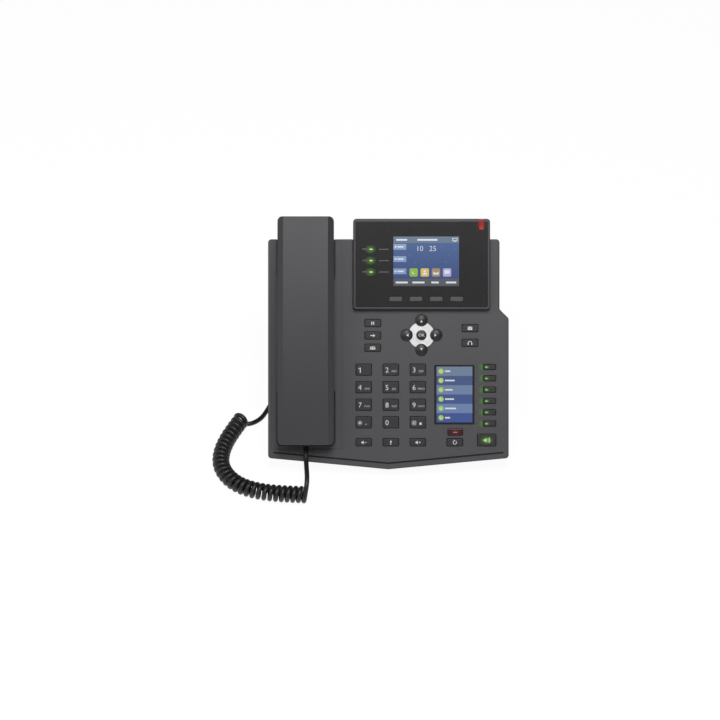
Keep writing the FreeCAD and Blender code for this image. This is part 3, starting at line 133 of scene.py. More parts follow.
# moulded plastics: a dull grain, drawn coarser than real, and a slightly cloudy tone
plastic = {"cloud": 45, "cloudDetail": 3, "grainDetail": 2, "grainShare": 0.3, "grainHeight": 0.05,
           "roughSpread": 0.06, "ior": 1.5, "coatRoughness": 0.1}


def mouldedPlastic(name, dark, light, roughness, grain, depth, coat=0.0):
    material, tree = newMaterial(name)
    cloud = noise(tree, plastic["cloud"], plastic["cloudDetail"])
    speck = noise(tree, grain, plastic["grainDetail"])
    shares = {0: plastic["grainShare"], 2: cloud, 3: speck}      # 2 and 3 are the node's value sockets
    both = addNode(tree, "ShaderNodeMix", inputs=shares)
    bump = addNode(tree, "ShaderNodeBump", inputs={
        "Height": speck, "Strength": depth, "Distance": plastic["grainHeight"] * mm})
    smooth, rough = roughness - plastic["roughSpread"], roughness + plastic["roughSpread"]
    closePrincipled(tree, {
        "Base Color": colourBetween(tree, both.outputs[0], linear(dark), linear(light)),
        "Roughness": valueBetween(tree, speck, smooth, rough), "Normal": bump.outputs[0],
        "IOR": plastic["ior"], "Coat Weight": coat, "Coat Roughness": plastic["coatRoughness"]})
    return material


# lit surfaces: a glow under a smooth window, from a low to a high colour between two places up the face
window = {"colour": "#101012", "roughness": 0.2, "ior": 1.49}


def litSurface(name, low, high, strength, fromV, toV):
    material, tree = newMaterial(name)
    height = addNode(tree, "ShaderNodeSeparateXYZ", inputs={0: objectPlace(tree)}).outputs["Z"]
    share = addNode(tree, "ShaderNodeMapRange", inputs={
        "Value": height, "From Min": facePoint(0, fromV).z, "From Max": facePoint(0, toV).z}).outputs[0]
    closePrincipled(tree, {
        "Base Color": linear(window["colour"]), "Roughness": window["roughness"], "IOR": window["ior"],
        "Emission Color": colourBetween(tree, share, linear(low), linear(high)),
        "Emission Strength": strength})
    return material


# printed ink: matt, a little uneven where the screen print is thin, with a faint glow of its own that is
# painted light
inkLook = {"speck": 0.6, "detail": 2, "smooth": 0.45, "rough": 0.7, "ior": 1.48}


def printedInk(name, colour, glow=0.0):
    material, tree = newMaterial(name)
    speck = noise(tree, inkLook["speck"], inkLook["detail"])
    # the emission is painted light: the print gives off light though no lamp is under it
    closePrincipled(tree, {
        "Base Color": linear(colour), "IOR": inkLook["ior"],
        "Roughness": valueBetween(tree, speck, inkLook["smooth"], inkLook["rough"]),
        "Emission Color": linear(colour), "Emission Strength": glow})
    return material


# stray light of a lamp on the surface round it: a halo that fades out from its middle
def lampHalo(name, colour, strength):
    material, tree = newMaterial(name)
    spot = addNode(tree, "ShaderNodeUVMap", {"uv_map": "halo"}).outputs[0]
    away = addNode(tree, "ShaderNodeVectorMath", {"operation": "LENGTH"}, {0: spot}).outputs["Value"]
    fade = addNode(tree, "ShaderNodeMapRange", {"interpolation_type": "SMOOTHERSTEP"},
                   {"Value": away, "To Min": strength, "To Max": 0.0}).outputs[0]
    clear = addNode(tree, "ShaderNodeBsdfTransparent").outputs[0]
    glow = addNode(tree, "ShaderNodeEmission", inputs={"Color": linear(colour)}).outputs[0]
    closeMaterial(tree, addNode(tree, "ShaderNodeMixShader", inputs={0: fade, 1: clear, 2: glow}))
    return material


# plain finishes: one colour with faint blotches in tone and sheen, for metal, plugs and the board
plain = {"blotch": 3, "detail": 3, "smoother": 0.8, "rougher": 1.2, "darker": 0.88}


def plainFinish(name, colour, roughness, more=None):
    material, tree = newMaterial(name)
    blotch = noise(tree, plain["blotch"], plain["detail"])
    light = linear(colour)
    dark = [c * plain["darker"] for c in light[:3]] + [1]
    smooth, rough = roughness * plain["smoother"], roughness * plain["rougher"]
    closePrincipled(tree, {
        "Base Color": colourBetween(tree, blotch, dark, light),
        "Roughness": valueBetween(tree, blotch, smooth, rough), **(more or {})})
    return material


# plastics: two tones, roughness, grain in mm, depth of the grain, gloss coat; notes say what the eye gets
finish = {
    "housing": mouldedPlastic("textured ABS, dark grey", "#444245", "#4d4b4e", 0.46, 0.7, 0.3),  # soft sheen
    "rear": mouldedPlastic("textured ABS, rear shell", "#3a383b", "#434144", 0.6, 0.7, 0.4),  # duller
    "handset": mouldedPlastic("textured ABS, handset", "#373538", "#3f3d40", 0.5, 0.6, 0.25),  # soft sheen
    "rim": mouldedPlastic("satin ABS, display frame", "#3b393c", "#434144", 0.4, 0.5, 0.2),  # glossier
    "lens": mouldedPlastic("smoked polycarbonate, polished", "#272527", "#2c2a2c",
                           0.16, 2.0, 0.02, 0.3),  # gloss
    "key": mouldedPlastic("satin ABS, keys", "#232124", "#2a282b", 0.45, 0.5, 0.2),  # darker than the face
    "softKey": mouldedPlastic("satin ABS, soft keys", "#454346", "#4b494c", 0.45, 0.5, 0.2),  # paler keys
    "dome": mouldedPlastic("polished ABS, direction keys", "#1f1d1f", "#262426", 0.4, 0.5, 0.06),  # a glint
    "hidden": mouldedPlastic("black ABS, inner pieces", "#1b1b1c", "#222223", 0.6, 0.8, 0.3),  # dull black
    "rubber": mouldedPlastic("black rubber, feet", "#161616", "#1e1e1e", 0.8, 0.5, 0.5),  # hardly any sheen
    "cord": mouldedPlastic("black PVC, extruded", "#1a191a", "#222122", 0.4, 1.5, 0.05),  # smooth sheen
    "silver": plainFinish("satin chrome on ABS", "#eff0f1", 0.34, {"Metallic": 1.0}),  # blurred mirror
    "board": plainFinish("green solder mask", "#1d4a2a", 0.35),  # green, low gloss
    "plug": plainFinish("clear polycarbonate, plugs", "#c9cccf", 0.12,
                        {"Transmission Weight": 0.7, "IOR": 1.58}),  # pale, half clear
    "steel": plainFinish("zinc plated steel, screws", "#a7a8aa", 0.35, {"Metallic": 1.0}),  # grey metal
    # the figures, letters and line marks glow a little: painted light, since no lamp is under them
    "ink": printedInk("white print, figures", "#d9d9db", 0.12),  # white
    "faint": printedInk("grey print, letters", "#b4b2b6", 0.1),  # less bright than the figures
    "memoryMark": printedInk("dark print, memory marks", "#3c3234"),  # barely shows
    "label": printedInk("tan print, line marks", "#7d726c", 0.05),  # dim tan
    "greenLamp": litSurface("green lamp", "#b4dc96", "#d2efb8", 0.9, 0, 200),  # whitish green
    "redLamp": litSurface("red lamp window", "#f04030", "#8e1f1a", 0.9, 208, 219),  # darker upwards
    "redKey": litSurface("red lit key", "#401f23", "#4a2226", 0.5, 29, 36),  # dim red ground
    "greenHalo": lampHalo("green lamp halo", "#68a83a", 0.5),  # green round a lamp
    "greenSpill": lampHalo("green lamp spill on the face", "#58a83a", 0.34),  # fainter, beside a key
    "redGlow": lampHalo("red key glow", "#a83a40", 0.32),  # dull red in the key's middle
    "redHalo": lampHalo("red lamp halo", "#c0302a", 0.35),  # red cast on the lens
}
print("finishes made:", len(finish))

# every solid of the frame takes its finish here, and those not named are keys
nodeFinish = {
    "front_housing": "housing", "rear_housing": "rear", "stand": "rear", "rubber_feet": "rubber",
    "display_housing": "rim", "display_lens": "lens", "main_lcd": "hidden", "side_lcd": "lens",
    "nav_ring": "silver", "message_light": "redLamp", "main_board": "board", "loudspeaker": "hidden",
    "curly_cord": "cord", "base_plug": "plug", "handset_plug": "plug", "handset_back": "handset",
    "handset_face": "handset", "handset_receiver": "hidden", "hook_switch": "hidden", "page_key": "redKey",
}


def keyFinish(name):
    if name.startswith("nav_") or name == "ok_key":
        return "dome"
    return "softKey" if name.startswith(("soft", "line")) else "key"


for name, solid in nodes.items():
    solid.data.materials.clear()
    solid.data.materials.append(finish[nodeFinish.get(name) or keyFinish(name)])
print("solids finished:", len(nodes))


# flat marks: shapes are lists of (x, v) points in mm, made as thin closed plates on a level n
def rectangle(x, v, wide, tall):
    return [(x - wide / 2, v - tall / 2), (x + wide / 2, v - tall / 2),
            (x + wide / 2, v + tall / 2), (x - wide / 2, v + tall / 2)]


def softRectangle(x, v, wide, tall, radius, steps=4):
    points = []
    for corner, (sx, sv) in enumerate(((1, -1), (1, 1), (-1, 1), (-1, -1))):
        for i in range(steps + 1):
            turn = math.radians(-90 + 90 * corner + 90 * i / steps)
            points.append((x + sx * (wide / 2 - radius) + radius * math.cos(turn),
                           v + sv * (tall / 2 - radius) + radius * math.sin(turn)))
    return points


def disc(x, v, radius, steps=24):
    turns = [2 * math.pi * i / steps for i in range(steps)]
    return [(x + radius * math.cos(t), v + radius * math.sin(t)) for t in turns]


def band(x, v, inner, outer, start, end, steps=14):
    turns = [math.radians(start + (end - start) * i / steps) for i in range(steps + 1)]
    outside = [(x + outer * math.cos(t), v + outer * math.sin(t)) for t in turns]
    inside = [(x + inner * math.cos(t), v + inner * math.sin(t)) for t in reversed(turns)]
    return outside + inside


def turned(shape, turn):
    c, s = math.cos(math.radians(turn)), math.sin(math.radians(turn))
    return [(c * a - s * b, s * a + c * b) for a, b in shape]


def moved(shapes, x, v, scale=1):
    return [[(x + a * scale, v + b * scale) for a, b in shape] for shape in shapes]


def addPlate(mesh, points, low, high):
    bottom = [mesh.verts.new((x, v, low)) for x, v in points]
    top = [mesh.verts.new((x, v, high)) for x, v in points]
    mesh.faces.new(top)
    mesh.faces.new(reversed(bottom))
    for i in range(len(points)):
        j = (i + 1) % len(points)
        mesh.faces.new((bottom[i], bottom[j], top[j], top[i]))


def facePiece(name, mesh, kind, body):
    bmesh.ops.remove_doubles(mesh, verts=mesh.verts, dist=1e-4)     # still in mm
    bmesh.ops.recalc_face_normals(mesh, faces=mesh.faces)
    data = bpy.data.meshes.new(name)
    mesh.to_mesh(data)
    mesh.free()
    data.transform(faceMatrix)
    data.materials.append(finish[kind])
    piece = addObject(name, data)
    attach(piece, body)


def platePiece(name, shapes, level, kind, body, thick=0.04, sunk=0.02):
    mesh = bmesh.new()
    for points in shapes:
        addPlate(mesh, points, level - sunk, level + thick)
    facePiece(name, mesh, kind, body)


def addText(mesh, words, x, v, size, level, thick=0.04, sunk=0.02, thin=0.008):
    curve = bpy.data.curves.new("words", "FONT")
    curve.body = words
    curve.size = size
    curve.align_x = "CENTER"
    curve.align_y = "CENTER"
    curve.extrude = (thick + sunk) / 2
    curve.offset = -thin * size                # a lighter stroke than the face's own
    curve.resolution_u = 3                     # few steps, because the letters are small
    holder = bpy.data.objects.new("words", curve)
    flat = bpy.data.meshes.new_from_object(holder)
    flat.transform(Matrix.Translation((x, v, level + (thick - sunk) / 2)))
    mesh.from_mesh(flat)
    bpy.data.objects.remove(holder)
    bpy.data.curves.remove(curve)
    bpy.data.meshes.remove(flat)


def nodeCentre(name):
    low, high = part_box(name)
    local = faceMatrix.inverted() @ ((low + high) / 2)
    return local.x, local.y


# camera: square on to the face, with the lower tip at the pixel where the photograph has it
view = {"frame": 720, "mmPerPixel": 0.8723, "tipX": 388.4, "tipY": 469.4, "distance": 2600,
        "sensor": 36, "clipEnd": 100}
aim = facePoint((view["frame"] / 2 - view["tipX"]) * view["mmPerPixel"],
                (view["tipY"] - view["frame"] / 2) * view["mmPerPixel"])
cameraData = bpy.data.cameras.new("camera")
cameraData.sensor_width = view["sensor"]
cameraData.lens = view["sensor"] * view["distance"] / (view["frame"] * view["mmPerPixel"])
cameraData.clip_end = view["clipEnd"]
camera = addObject("camera", cameraData)
camera.location = aim + faceOut * view["distance"] * mm
camera.rotation_euler = (math.radians(face["tilt"]), 0, 0)
bpy.context.scene.camera = camera
print("camera set")

# curly cord: the solid's curl axis, in mm from the tip, desk at z 0; the base lead follows the photo
cordSizes = {
    "wire": 4.2, "sides": 12, "curls": 29, "curlRadius": 5.5, "curlLift": 8.0, "pointsPerCurl": 16,
    "firstPitch": 0.9,                                  # the curls lie closer at the handset
    "curlAxis": ((-72, -29.9), (-93, -28.9), (-113, -25.6), (-129, -18.6), (-140, -7.4),
                 (-146.4, 7), (-147, 22), (-143.6, 38), (-137.4, 54), (-129.7, 70.5)),
    "baseLead": ((-113.5, 76, 2.1), (-108.5, 87, 2.1), (-104.5, 98, 2.1), (-102.3, 107, 2.1),
                 (-102, 117, 2.1), (-96.5, 128, 2.5), (-87, 131.5, 8), (-81.5, 127, 20),
                 (-80, 118.5, 33), (-80, 106, 44.5)),
    "handExit": (-71.9, 21.2, 5), "baseExit": (-80, 96, -24.5), "leadOut": 14, "handRun": 14, "baseRun": 7,
    "axisSteps": 24, "routeSteps": 3,
    "pull": (0.35, -0.9, 0.25), "stillTo": 85, "liftedFrom": 25,
}


def splinePoints(name, points, resolution):
    curve = bpy.data.curves.new(name, "CURVE")
    curve.dimensions = "3D"
    curve.resolution_u = resolution
    spline = curve.splines.new("NURBS")
    spline.points.add(len(points) - 1)
    for spot, place in zip(spline.points, points):
        spot.co = (*place, 1)
    spline.order_u = 3
    spline.use_endpoint_u = True
    holder = bpy.data.objects.new(name, curve)
    line = bpy.data.meshes.new_from_object(holder)
    found = [v.co.copy() for v in line.vertices]
    bpy.data.objects.remove(holder)
    bpy.data.curves.remove(curve)
    bpy.data.meshes.remove(line)
    return found


def curlPoints(s):
    middles = [deskPoint(x, y, s["curlLift"]) for x, y in s["curlAxis"]]
    axis = splinePoints("curl axis", middles, s["axisSteps"])
    lengths = [0.0]
    for a, b in zip(axis, axis[1:]):
        lengths.append(lengths[-1] + (b - a).length)
    startTurn = math.radians(90 - face["tilt"])
    turns = s["curls"] + (startTurn + math.pi / 2) / (2 * math.pi)      # the last curl ends at its bottom
    count = int(turns * s["pointsPerCurl"])
    inside = (1 - math.cos(2 * math.pi / s["pointsPerCurl"])) / 4       # the spline cuts inside its points
    radius = s["curlRadius"] / (1 - inside) * mm
    curls = []
    place = 0
    for i in range(count + 1):
        share = i / count
        along = lengths[-1] * share * (s["firstPitch"] + (1 - s["firstPitch"]) * share)
        while place < len(axis) - 2 and lengths[place + 1] < along:
            place += 1
        run = axis[place + 1] - axis[place]
        centre = axis[place] + run * ((along - lengths[place]) / run.length)
        sideways = Vector((0, 0, 1)).cross(run).normalized()
        turn = startTurn - 2 * math.pi * turns * share
        curls.append(centre + (sideways * math.cos(turn) + Vector((0, 0, math.sin(turn)))) * radius)
    return curls


def cordRoute(s, handExit, baseExit):
    curls = curlPoints(s)
    startHeading = (curls[1] - curls[0]).normalized()
    endHeading = ((curls[-1] - curls[-2]) * Vector((1, 1, 0))).normalized()     # it leaves along the desk
    points = [handExit, handExit - faceUp * s["leadOut"] * mm, curls[0] - startHeading * s["handRun"] * mm]
    points += curls + [curls[-1] + endHeading * s["baseRun"] * mm]
    points += [deskPoint(*p) for p in s["baseLead"]]
    points += [baseExit - faceOut * s["leadOut"] * mm, baseExit]
    return splinePoints("cord route", points, s["routeSteps"])


def tubeMesh(name, path, radius, sides):
    mesh = bmesh.new()
    rings = []
    side = faceOut.copy()
    turns = [2 * math.pi * k / sides for k in range(sides)]
    for i, spot in enumerate(path):
        heading = (path[min(i + 1, len(path) - 1)] - path[max(i - 1, 0)]).normalized()
        side = (side - heading * side.dot(heading)).normalized()
        other = heading.cross(side)
        arms = [side * math.cos(t) + other * math.sin(t) for t in turns]
        rings.append([mesh.verts.new(spot + arm * radius) for arm in arms])
    for a, b in zip(rings, rings[1:]):
        for k in range(sides):
            j = (k + 1) % sides
            mesh.faces.new((a[k], a[j], b[j], b[k]))
    mesh.faces.new(reversed(rings[0]))
    mesh.faces.new(rings[-1])
    bmesh.ops.recalc_face_normals(mesh, faces=mesh.faces)
    data = bpy.data.meshes.new(name)
    mesh.to_mesh(data)
    mesh.free()
    for polygon in data.polygons:
        polygon.use_smooth = True
    return data


def makeCord(s):
    handExit = facePoint(*s["handExit"])
    path = cordRoute(s, handExit, facePoint(*s["baseExit"]))
    data = tubeMesh("curlyCord", path, s["wire"] / 2 * mm, s["sides"])
    data.materials.append(finish["cord"])
    piece = addObject("curlyCord", data)
    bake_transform(piece)
    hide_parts("curly_cord")


makeCord(cordSizes)

# key figures and letters
legend = {"keyTop": 1.3, "figure": 6.4, "figureX": -3.3, "figureV": -0.4,
          "letters": 2.6, "longLetters": 2.05, "lettersX": 2.9, "lettersV": -1.3,
          "okSize": 3.7, "okThick": 0.26, "arrowLevel": 1.95, "arrowThick": 0.08, "arrowSunk": 0.3,
          "speakerScale": 1.3, "speakerProud": 0.05}
dialWords = {"2": "ABC", "3": "DEF", "4": "GHI", "5": "JKL", "6": "MNO", "7": "PQRS", "8": "TUV", "9": "WXYZ",
             "0": ""}
for figure, letters in dialWords.items():
    name = "key_" + figure
    x, v = nodeCentre(name)
    mesh = bmesh.new()
    addText(mesh, figure, x + legend["figureX"], v + legend["figureV"], legend["figure"], legend["keyTop"])
    facePiece(name + "_figure", mesh, "ink", name)
    if letters:
        size = legend["longLetters" if len(letters) > 3 else "letters"]
        mesh = bmesh.new()
        addText(mesh, letters, x + legend["lettersX"], v + legend["lettersV"], size, legend["keyTop"], thin=0)
        facePiece(name + "_letters", mesh, "faint", name)

# one, star and hash are drawn from bars, with a dash and a lock beside the last two
starBar = rectangle(0, 0, 0.38, 4.4)
hashBars = [rectangle(x, 0, 0.36, 4.2) for x in (-0.8, 0.8)]
drawnFigures = {
    "key_1": [rectangle(0.3, 0, 0.75, 4.5), [(-1.3, 0.9), (-0.05, 1.6), (-0.05, 2.25), (-1.3, 1.55)]],
    "key_star": [turned(starBar, turn) for turn in (0, 60, 120)] + [rectangle(5.2, -1.2, 1.2, 0.4)],
    "key_hash": [turned(bar, turn) for bar in hashBars for turn in (0, 90)]
    + [rectangle(5.6, -0.9, 1.9, 1.5), band(5.6, -0.15, 0.45, 0.75, 0, 180, 8)],
}
for name, shapes in drawnFigures.items():
    x, v = nodeCentre(name)
    platePiece(name + "_figure", moved(shapes, x + legend["figureX"], v + legend["figureV"]),
               legend["keyTop"], "ink", name)

# signs on the function keys, each about the middle of its key
speakerSign = [[(-2.1, -0.6), (-1.3, -0.6), (-0.1, -1.6), (-0.1, 1.6), (-1.3, 0.6), (-2.1, 0.6)]]
minusSign = [rectangle(1.6, 0, 1.6, 0.4)]
signs = {
    "hold_key": [rectangle(-0.8, 0, 0.8, 2.8), rectangle(0.8, 0, 0.8, 2.8)],
    "transfer_key": [[(-2.2, -0.35), (0.4, -0.35), (0.4, -1.4), (2.2, 0),
                      (0.4, 1.4), (0.4, 0.35), (-2.2, 0.35)]],
    "conference_key": [disc(0, 0.8, 0.7), disc(-1.6, 0.6, 0.55), disc(1.6, 0.6, 0.55),
                       [(-1.1, -1.4), (1.1, -1.4), (0.8, -0.1), (-0.8, -0.1)],
                       [(-2.5, -1.2), (-1.3, -1.2), (-1.1, -0.2), (-2.1, -0.2)],
                       [(1.3, -1.2), (2.5, -1.2), (2.1, -0.2), (1.1, -0.2)]],
    "message_key": [[(-2, -1.4), (2, -1.4), (2, 0.7), (0, -0.5), (-2, 0.7)],
                    [(-2, 1.4), (-2, 1.1), (0, -0.1), (2, 1.1), (2, 1.4)]],
    "headset_key": [band(0, -0.2, 1.4, 1.9, 0, 180), rectangle(-1.55, -0.9, 0.9, 1.4),
                    rectangle(1.55, -0.9, 0.9, 1.4)],
    "volume_down_key": speakerSign + minusSign,
    "mute_key": [softRectangle(0, 0.5, 1.1, 2.2, 0.5), rectangle(0, -1.1, 0.35, 0.8),
                 rectangle(0, -1.6, 1.5, 0.35)],
    "volume_up_key": speakerSign + minusSign + [rectangle(1.6, up, 0.4, 0.6) for up in (0.5, -0.5)],
    "redial_key": [band(0, 0, 1.3, 1.75, 120, 420, 24), [(-0.9, 2.2), (-0.9, 0.7), (0.4, 1.5)]],
    "page_key": [rectangle(0, 0, 3.2, 0.5)],
}
for name, shapes in signs.items():
    platePiece(name + "_sign", moved(shapes, *nodeCentre(name)), legend["keyTop"], "ink", name)
soundWaves = [band(-0.1, 0, inner, inner + 0.5, -50, 50, 8) for inner in (0.9, 2.0)]
speakerShapes = moved(speakerSign + soundWaves, *nodeCentre("speaker_key"), legend["speakerScale"])
platePiece("speaker_key_sign", speakerShapes, legend["keyTop"] + legend["speakerProud"],
           "greenLamp", "speaker_key")

# arrows on the direction keys point away from the OK key
arrow = [(-1.2, -1.6), (1.2, -1.6), (0, 0.2)]
for name, turn in (("nav_up_key", 0), ("nav_right_key", -90), ("nav_down_key", 180), ("nav_left_key", 90)):
    platePiece(name + "_arrow", moved([turned(arrow, turn)], *nodeCentre(name)), legend["arrowLevel"],
               "ink", name, thick=legend["arrowThick"], sunk=legend["arrowSunk"])
mesh = bmesh.new()
addText(mesh, "OK", *nodeCentre("ok_key"), legend["okSize"], legend["keyTop"],
        legend["okThick"], sunk=0, thin=0)
facePiece("ok_key_letters", mesh, "ink", "ok_key")
print("key signs made")

# lamps in the keys with their halos: x from the key's middle, but on the face for marks and message lamp
lamps = {"lensTop": 6.0, "lensHalo": 6.05, "keyTop": 1.3, "keyHalo": 1.36, "faceHalo": 0.05}
lineLamp = {"x": 3.0, "wide": 3.0, "tall": 1.1, "corner": 0.5, "level": 6.6,
            "haloX": 2.4, "haloWide": 13, "haloTall": 9.5, "markX": -4.0, "markWide": 8.6, "markTall": 0.5}
memoryLamp = {"x": -2.9, "wide": 2.1, "tall": 1.0, "corner": 0.45,
              "haloX": -2.4, "haloWide": 6.2, "haloTall": 4.2, "spillX": -6.1, "spillWide": 11.0,
              "spillTall": 9.6, "markX": 78.1, "markWide": 5.8, "markTall": 0.4}
speakerLamp = {"wide": 15, "tall": 9.6, "level": 1.33}
pageLamp = {"wide": 12.6, "tall": 5.4}
messageLamp = {"x": 80.6, "v": 213.5, "size": 11}


def haloPiece(name, x, v, wide, tall, level, kind, body, slot, start=0, end=360, steps=32):
    mesh = bmesh.new()
    turns = [math.radians(start + (end - start) * i / steps) for i in range(steps + 1)]
    spots = [(0, 0)] + [(math.cos(t), math.sin(t)) for t in turns]
    verts = [mesh.verts.new((x + a * wide / 2, v + b * tall / 2, level)) for a, b in spots]
    layer = mesh.loops.layers.uv.new("halo")
    for i in range(1, steps + 1):
        fan = mesh.faces.new((verts[0], verts[i], verts[i + 1]))
        for loop, spot in zip(fan.loops, (spots[0], spots[i], spots[i + 1])):
            loop[layer].uv = spot
    facePiece(name, mesh, kind, body)


def lampShape(s, x, v):
    return [softRectangle(x + s["x"], v, s["wide"], s["tall"], s["corner"])]


s = lineLamp
for i in range(1, 4):
    name = f"line_key_{i}"
    x, v = nodeCentre(name)
    platePiece(name + "_lamp", lampShape(s, x, v), s["level"], "greenLamp", name)
    haloPiece(name + "_halo", x + s["haloX"], v, s["haloWide"], s["haloTall"], lamps["lensHalo"],
              "greenHalo", "base", "gloss_panel")
    platePiece(name + "_mark", [rectangle(s["markX"], v, s["markWide"], s["markTall"])], lamps["lensTop"],
               "label", "base")
memoryMarks = []
s = memoryLamp
for i in range(1, 7):
    name = f"memory_key_{i}"
    x, v = nodeCentre(name)
    platePiece(name + "_lamp", lampShape(s, x, v), lamps["keyTop"], "greenLamp", name)
    haloPiece(name + "_halo", x + s["haloX"], v, s["haloWide"], s["haloTall"], lamps["keyHalo"],
              "greenHalo", name, "lit_key")
    haloPiece(name + "_spill", x + s["spillX"], v, s["spillWide"], s["spillTall"], lamps["faceHalo"],
              "greenSpill", "base", "housing", 90, 270)         # the half that lies clear of the key
    memoryMarks.append(rectangle(s["markX"], v, s["markWide"], s["markTall"]))
haloPiece("speaker_key_halo", *nodeCentre("speaker_key"), speakerLamp["wide"], speakerLamp["tall"],
          speakerLamp["level"], "greenHalo", "speaker_key", "lit_key")
haloPiece("page_key_glow", *nodeCentre("page_key"), pageLamp["wide"], pageLamp["tall"], lamps["keyHalo"],
          "redGlow", "page_key", "lit_key")
platePiece("memoryMarks", memoryMarks, 0, "memoryMark", "base")
haloPiece("message_light_halo", messageLamp["x"], messageLamp["v"], messageLamp["size"], messageLamp["size"],
          lamps["lensHalo"], "redHalo", "base", "gloss_panel")
print("lamps made")

# painted shade: a dark strip on the floor of the V groove above the lower edge stands for the groove's shadow
groove = {"half": 100.3, "tip": 5.3, "rise": 9.36, "wide": 1.3, "floor": -1.2, "thick": 0.5}
edge = groove["wide"] / 2
grooveEnd = groove["tip"] + groove["rise"]
grooveLine = [(-groove["half"], grooveEnd), (0, groove["tip"]), (groove["half"], grooveEnd)]
shadeStrip = [(x, v - edge) for x, v in grooveLine] + [(x, v + edge) for x, v in reversed(grooveLine)]
# the black rubber finish is borrowed here to paint the groove's shade; there is no rubber part in the groove
platePiece("grooveShadeStrip", [shadeStrip], groove["floor"], "rubber", "base", thick=groove["thick"])

# main screen: a lit picture on the lens, all plain marks, in layers
screen = {"left": 4.3, "low": 159.8, "wide": 57.1, "tall": 43.1, "level": 6.0, "layer": 0.02, "glow": 0.85,
          "status": 5.6, "foot": 6.4, "blocks": (193.9, 183.3, 172.6), "blockWide": 11.2, "blockTall": 5.0}
screenTone = {
    "screenBlue": ("#33477c", "#4f6a9c"), "screenBar": ("#62758c", "#6f8298"),
    "screenFoot": ("#55585f", "#6a6d74"), "screenBlock": ("#7f9ac4", "#93abd0"),
    "screenWhite": ("#dfe6ee", "#eef2f6"), "appGreen": ("#7fae2c", "#b4d45a"),
    "appYellow": ("#d9b43c", "#efdc86"), "appTan": ("#9c8460", "#b9a382"), "appLilac": ("#a79fd6", "#cfc9f0"),
}
left, low = screen["left"], screen["low"]
right, top = left + screen["wide"], low + screen["tall"]
middle = left + screen["wide"] / 2
for kind, tones in screenTone.items():
    finish[kind] = litSurface("screen, " + kind, *tones, screen["glow"], low, top)


def screenPlate(name, shapes, level, kind):
    platePiece(name, shapes, level, kind, "base", screen["layer"])


ground = screen["level"]
above = ground + screen["layer"]
front = above + screen["layer"]
screenPlate("mainPicture", [rectangle(middle, low + screen["tall"] / 2, screen["wide"], screen["tall"])],
            ground, "screenBlue")
screenPlate("mainStatus", [rectangle(middle, top - screen["status"] / 2, screen["wide"], screen["status"])],
            above, "screenBar")
screenPlate("mainFoot", [rectangle(middle, low + screen["foot"] / 2, screen["wide"], screen["foot"])],
            above, "screenFoot")
blockMiddle = left + screen["blockWide"] / 2
blocks = [rectangle(blockMiddle, v, screen["blockWide"], screen["blockTall"]) for v in screen["blocks"]]
screenPlate("mainBlocks", blocks, above, "screenBlock")

# white bars stand for the words, and five more draw a small monitor at the upper right
words = {"status": ((7.2, 9.5), (29.55, 17.5)), "statusDown": 2.9, "statusTall": 1.5,
         "foot": ((7.2, 10.5), (21.8, 10.5), (36.2, 6.5), (50.2, 9)), "footUp": 3.1, "footTall": 1.6,
         "dotX": 1.9, "dotRadius": 0.8, "dotSides": 12, "blockX": 6.2, "blockWide": 5.2, "blockTall": 1.2,
         "monitorIn": 3.6, "monitorDown": 2.6}
monitor = [rectangle(0, 1, 4.4, 0.5), rectangle(0, -1, 4.4, 0.5), rectangle(-2, 0, 0.5, 1.6),
           rectangle(2, 0, 0.5, 1.6), rectangle(0, -1.7, 2.4, 0.4)]
marks = []
for x, wide in words["status"]:
    marks.append(rectangle(left + x, top - words["statusDown"], wide, words["statusTall"]))
marks += moved(monitor, right - words["monitorIn"], top - words["monitorDown"])
marks += [rectangle(left + x, low + words["footUp"], wide, words["footTall"]) for x, wide in words["foot"]]
for v in screen["blocks"]:
    marks.append(disc(left + words["dotX"], v, words["dotRadius"], words["dotSides"]))
    marks.append(rectangle(left + words["blockX"], v, words["blockWide"], words["blockTall"]))
screenPlate("mainMarks", marks, front, "screenWhite")

# clock, and stars in the picture behind it
clock = {"figures": (("10", 27.2), ("25", 38.6)), "v": 192.2, "size": 6.4}
mesh = bmesh.new()
for figures, x in clock["figures"]:
    addText(mesh, figures, x, clock["v"], clock["size"], front, thick=screen["layer"])
facePiece("mainClock", mesh, "screenWhite", "base")
stars = {"radius": 0.28, "sides": 8,
         "spots": ((18.5, 186.4), (23.1, 180.2), (46.2, 194.5), (52.8, 186.9),
                   (49.4, 180.6), (57.9, 192.1), (35.2, 183.1), (29.0, 178.3))}
starDiscs = [disc(x, v, stars["radius"], stars["sides"]) for x, v in stars["spots"]]
screenPlate("mainStars", starDiscs, above, "screenBlock")

# four coloured tiles with a receiver, a person, an envelope and a speech bubble
tiles = {"first": 21.9, "pitch": 9.7, "v": 171.6, "size": 7.2, "corner": 1.2}
tileSigns = {
    "appGreen": [band(0.7, 0.8, 1.6, 2.4, 180, 270, 8)],
    "appYellow": [disc(0, 1.0, 1.1), softRectangle(0, -1.2, 3.6, 1.6, 0.7)],
    "appTan": [[(-2.3, -1.8), (2.3, -1.8), (2.3, 0.8), (0, -0.6), (-2.3, 0.8)]],
    "appLilac": [softRectangle(0, 0.4, 4.6, 3.2, 1.2), [(-1.6, -0.8), (-0.4, -0.8), (-1.8, -2.0)]],
}
allSigns = []
for i, (kind, shapes) in enumerate(tileSigns.items()):
    x = tiles["first"] + tiles["pitch"] * i
    tile = softRectangle(x, tiles["v"], tiles["size"], tiles["size"], tiles["corner"])
    screenPlate(kind, [tile], above, kind)
    allSigns += moved(shapes, x, tiles["v"])
screenPlate("appSigns", allSigns, front, "screenWhite")

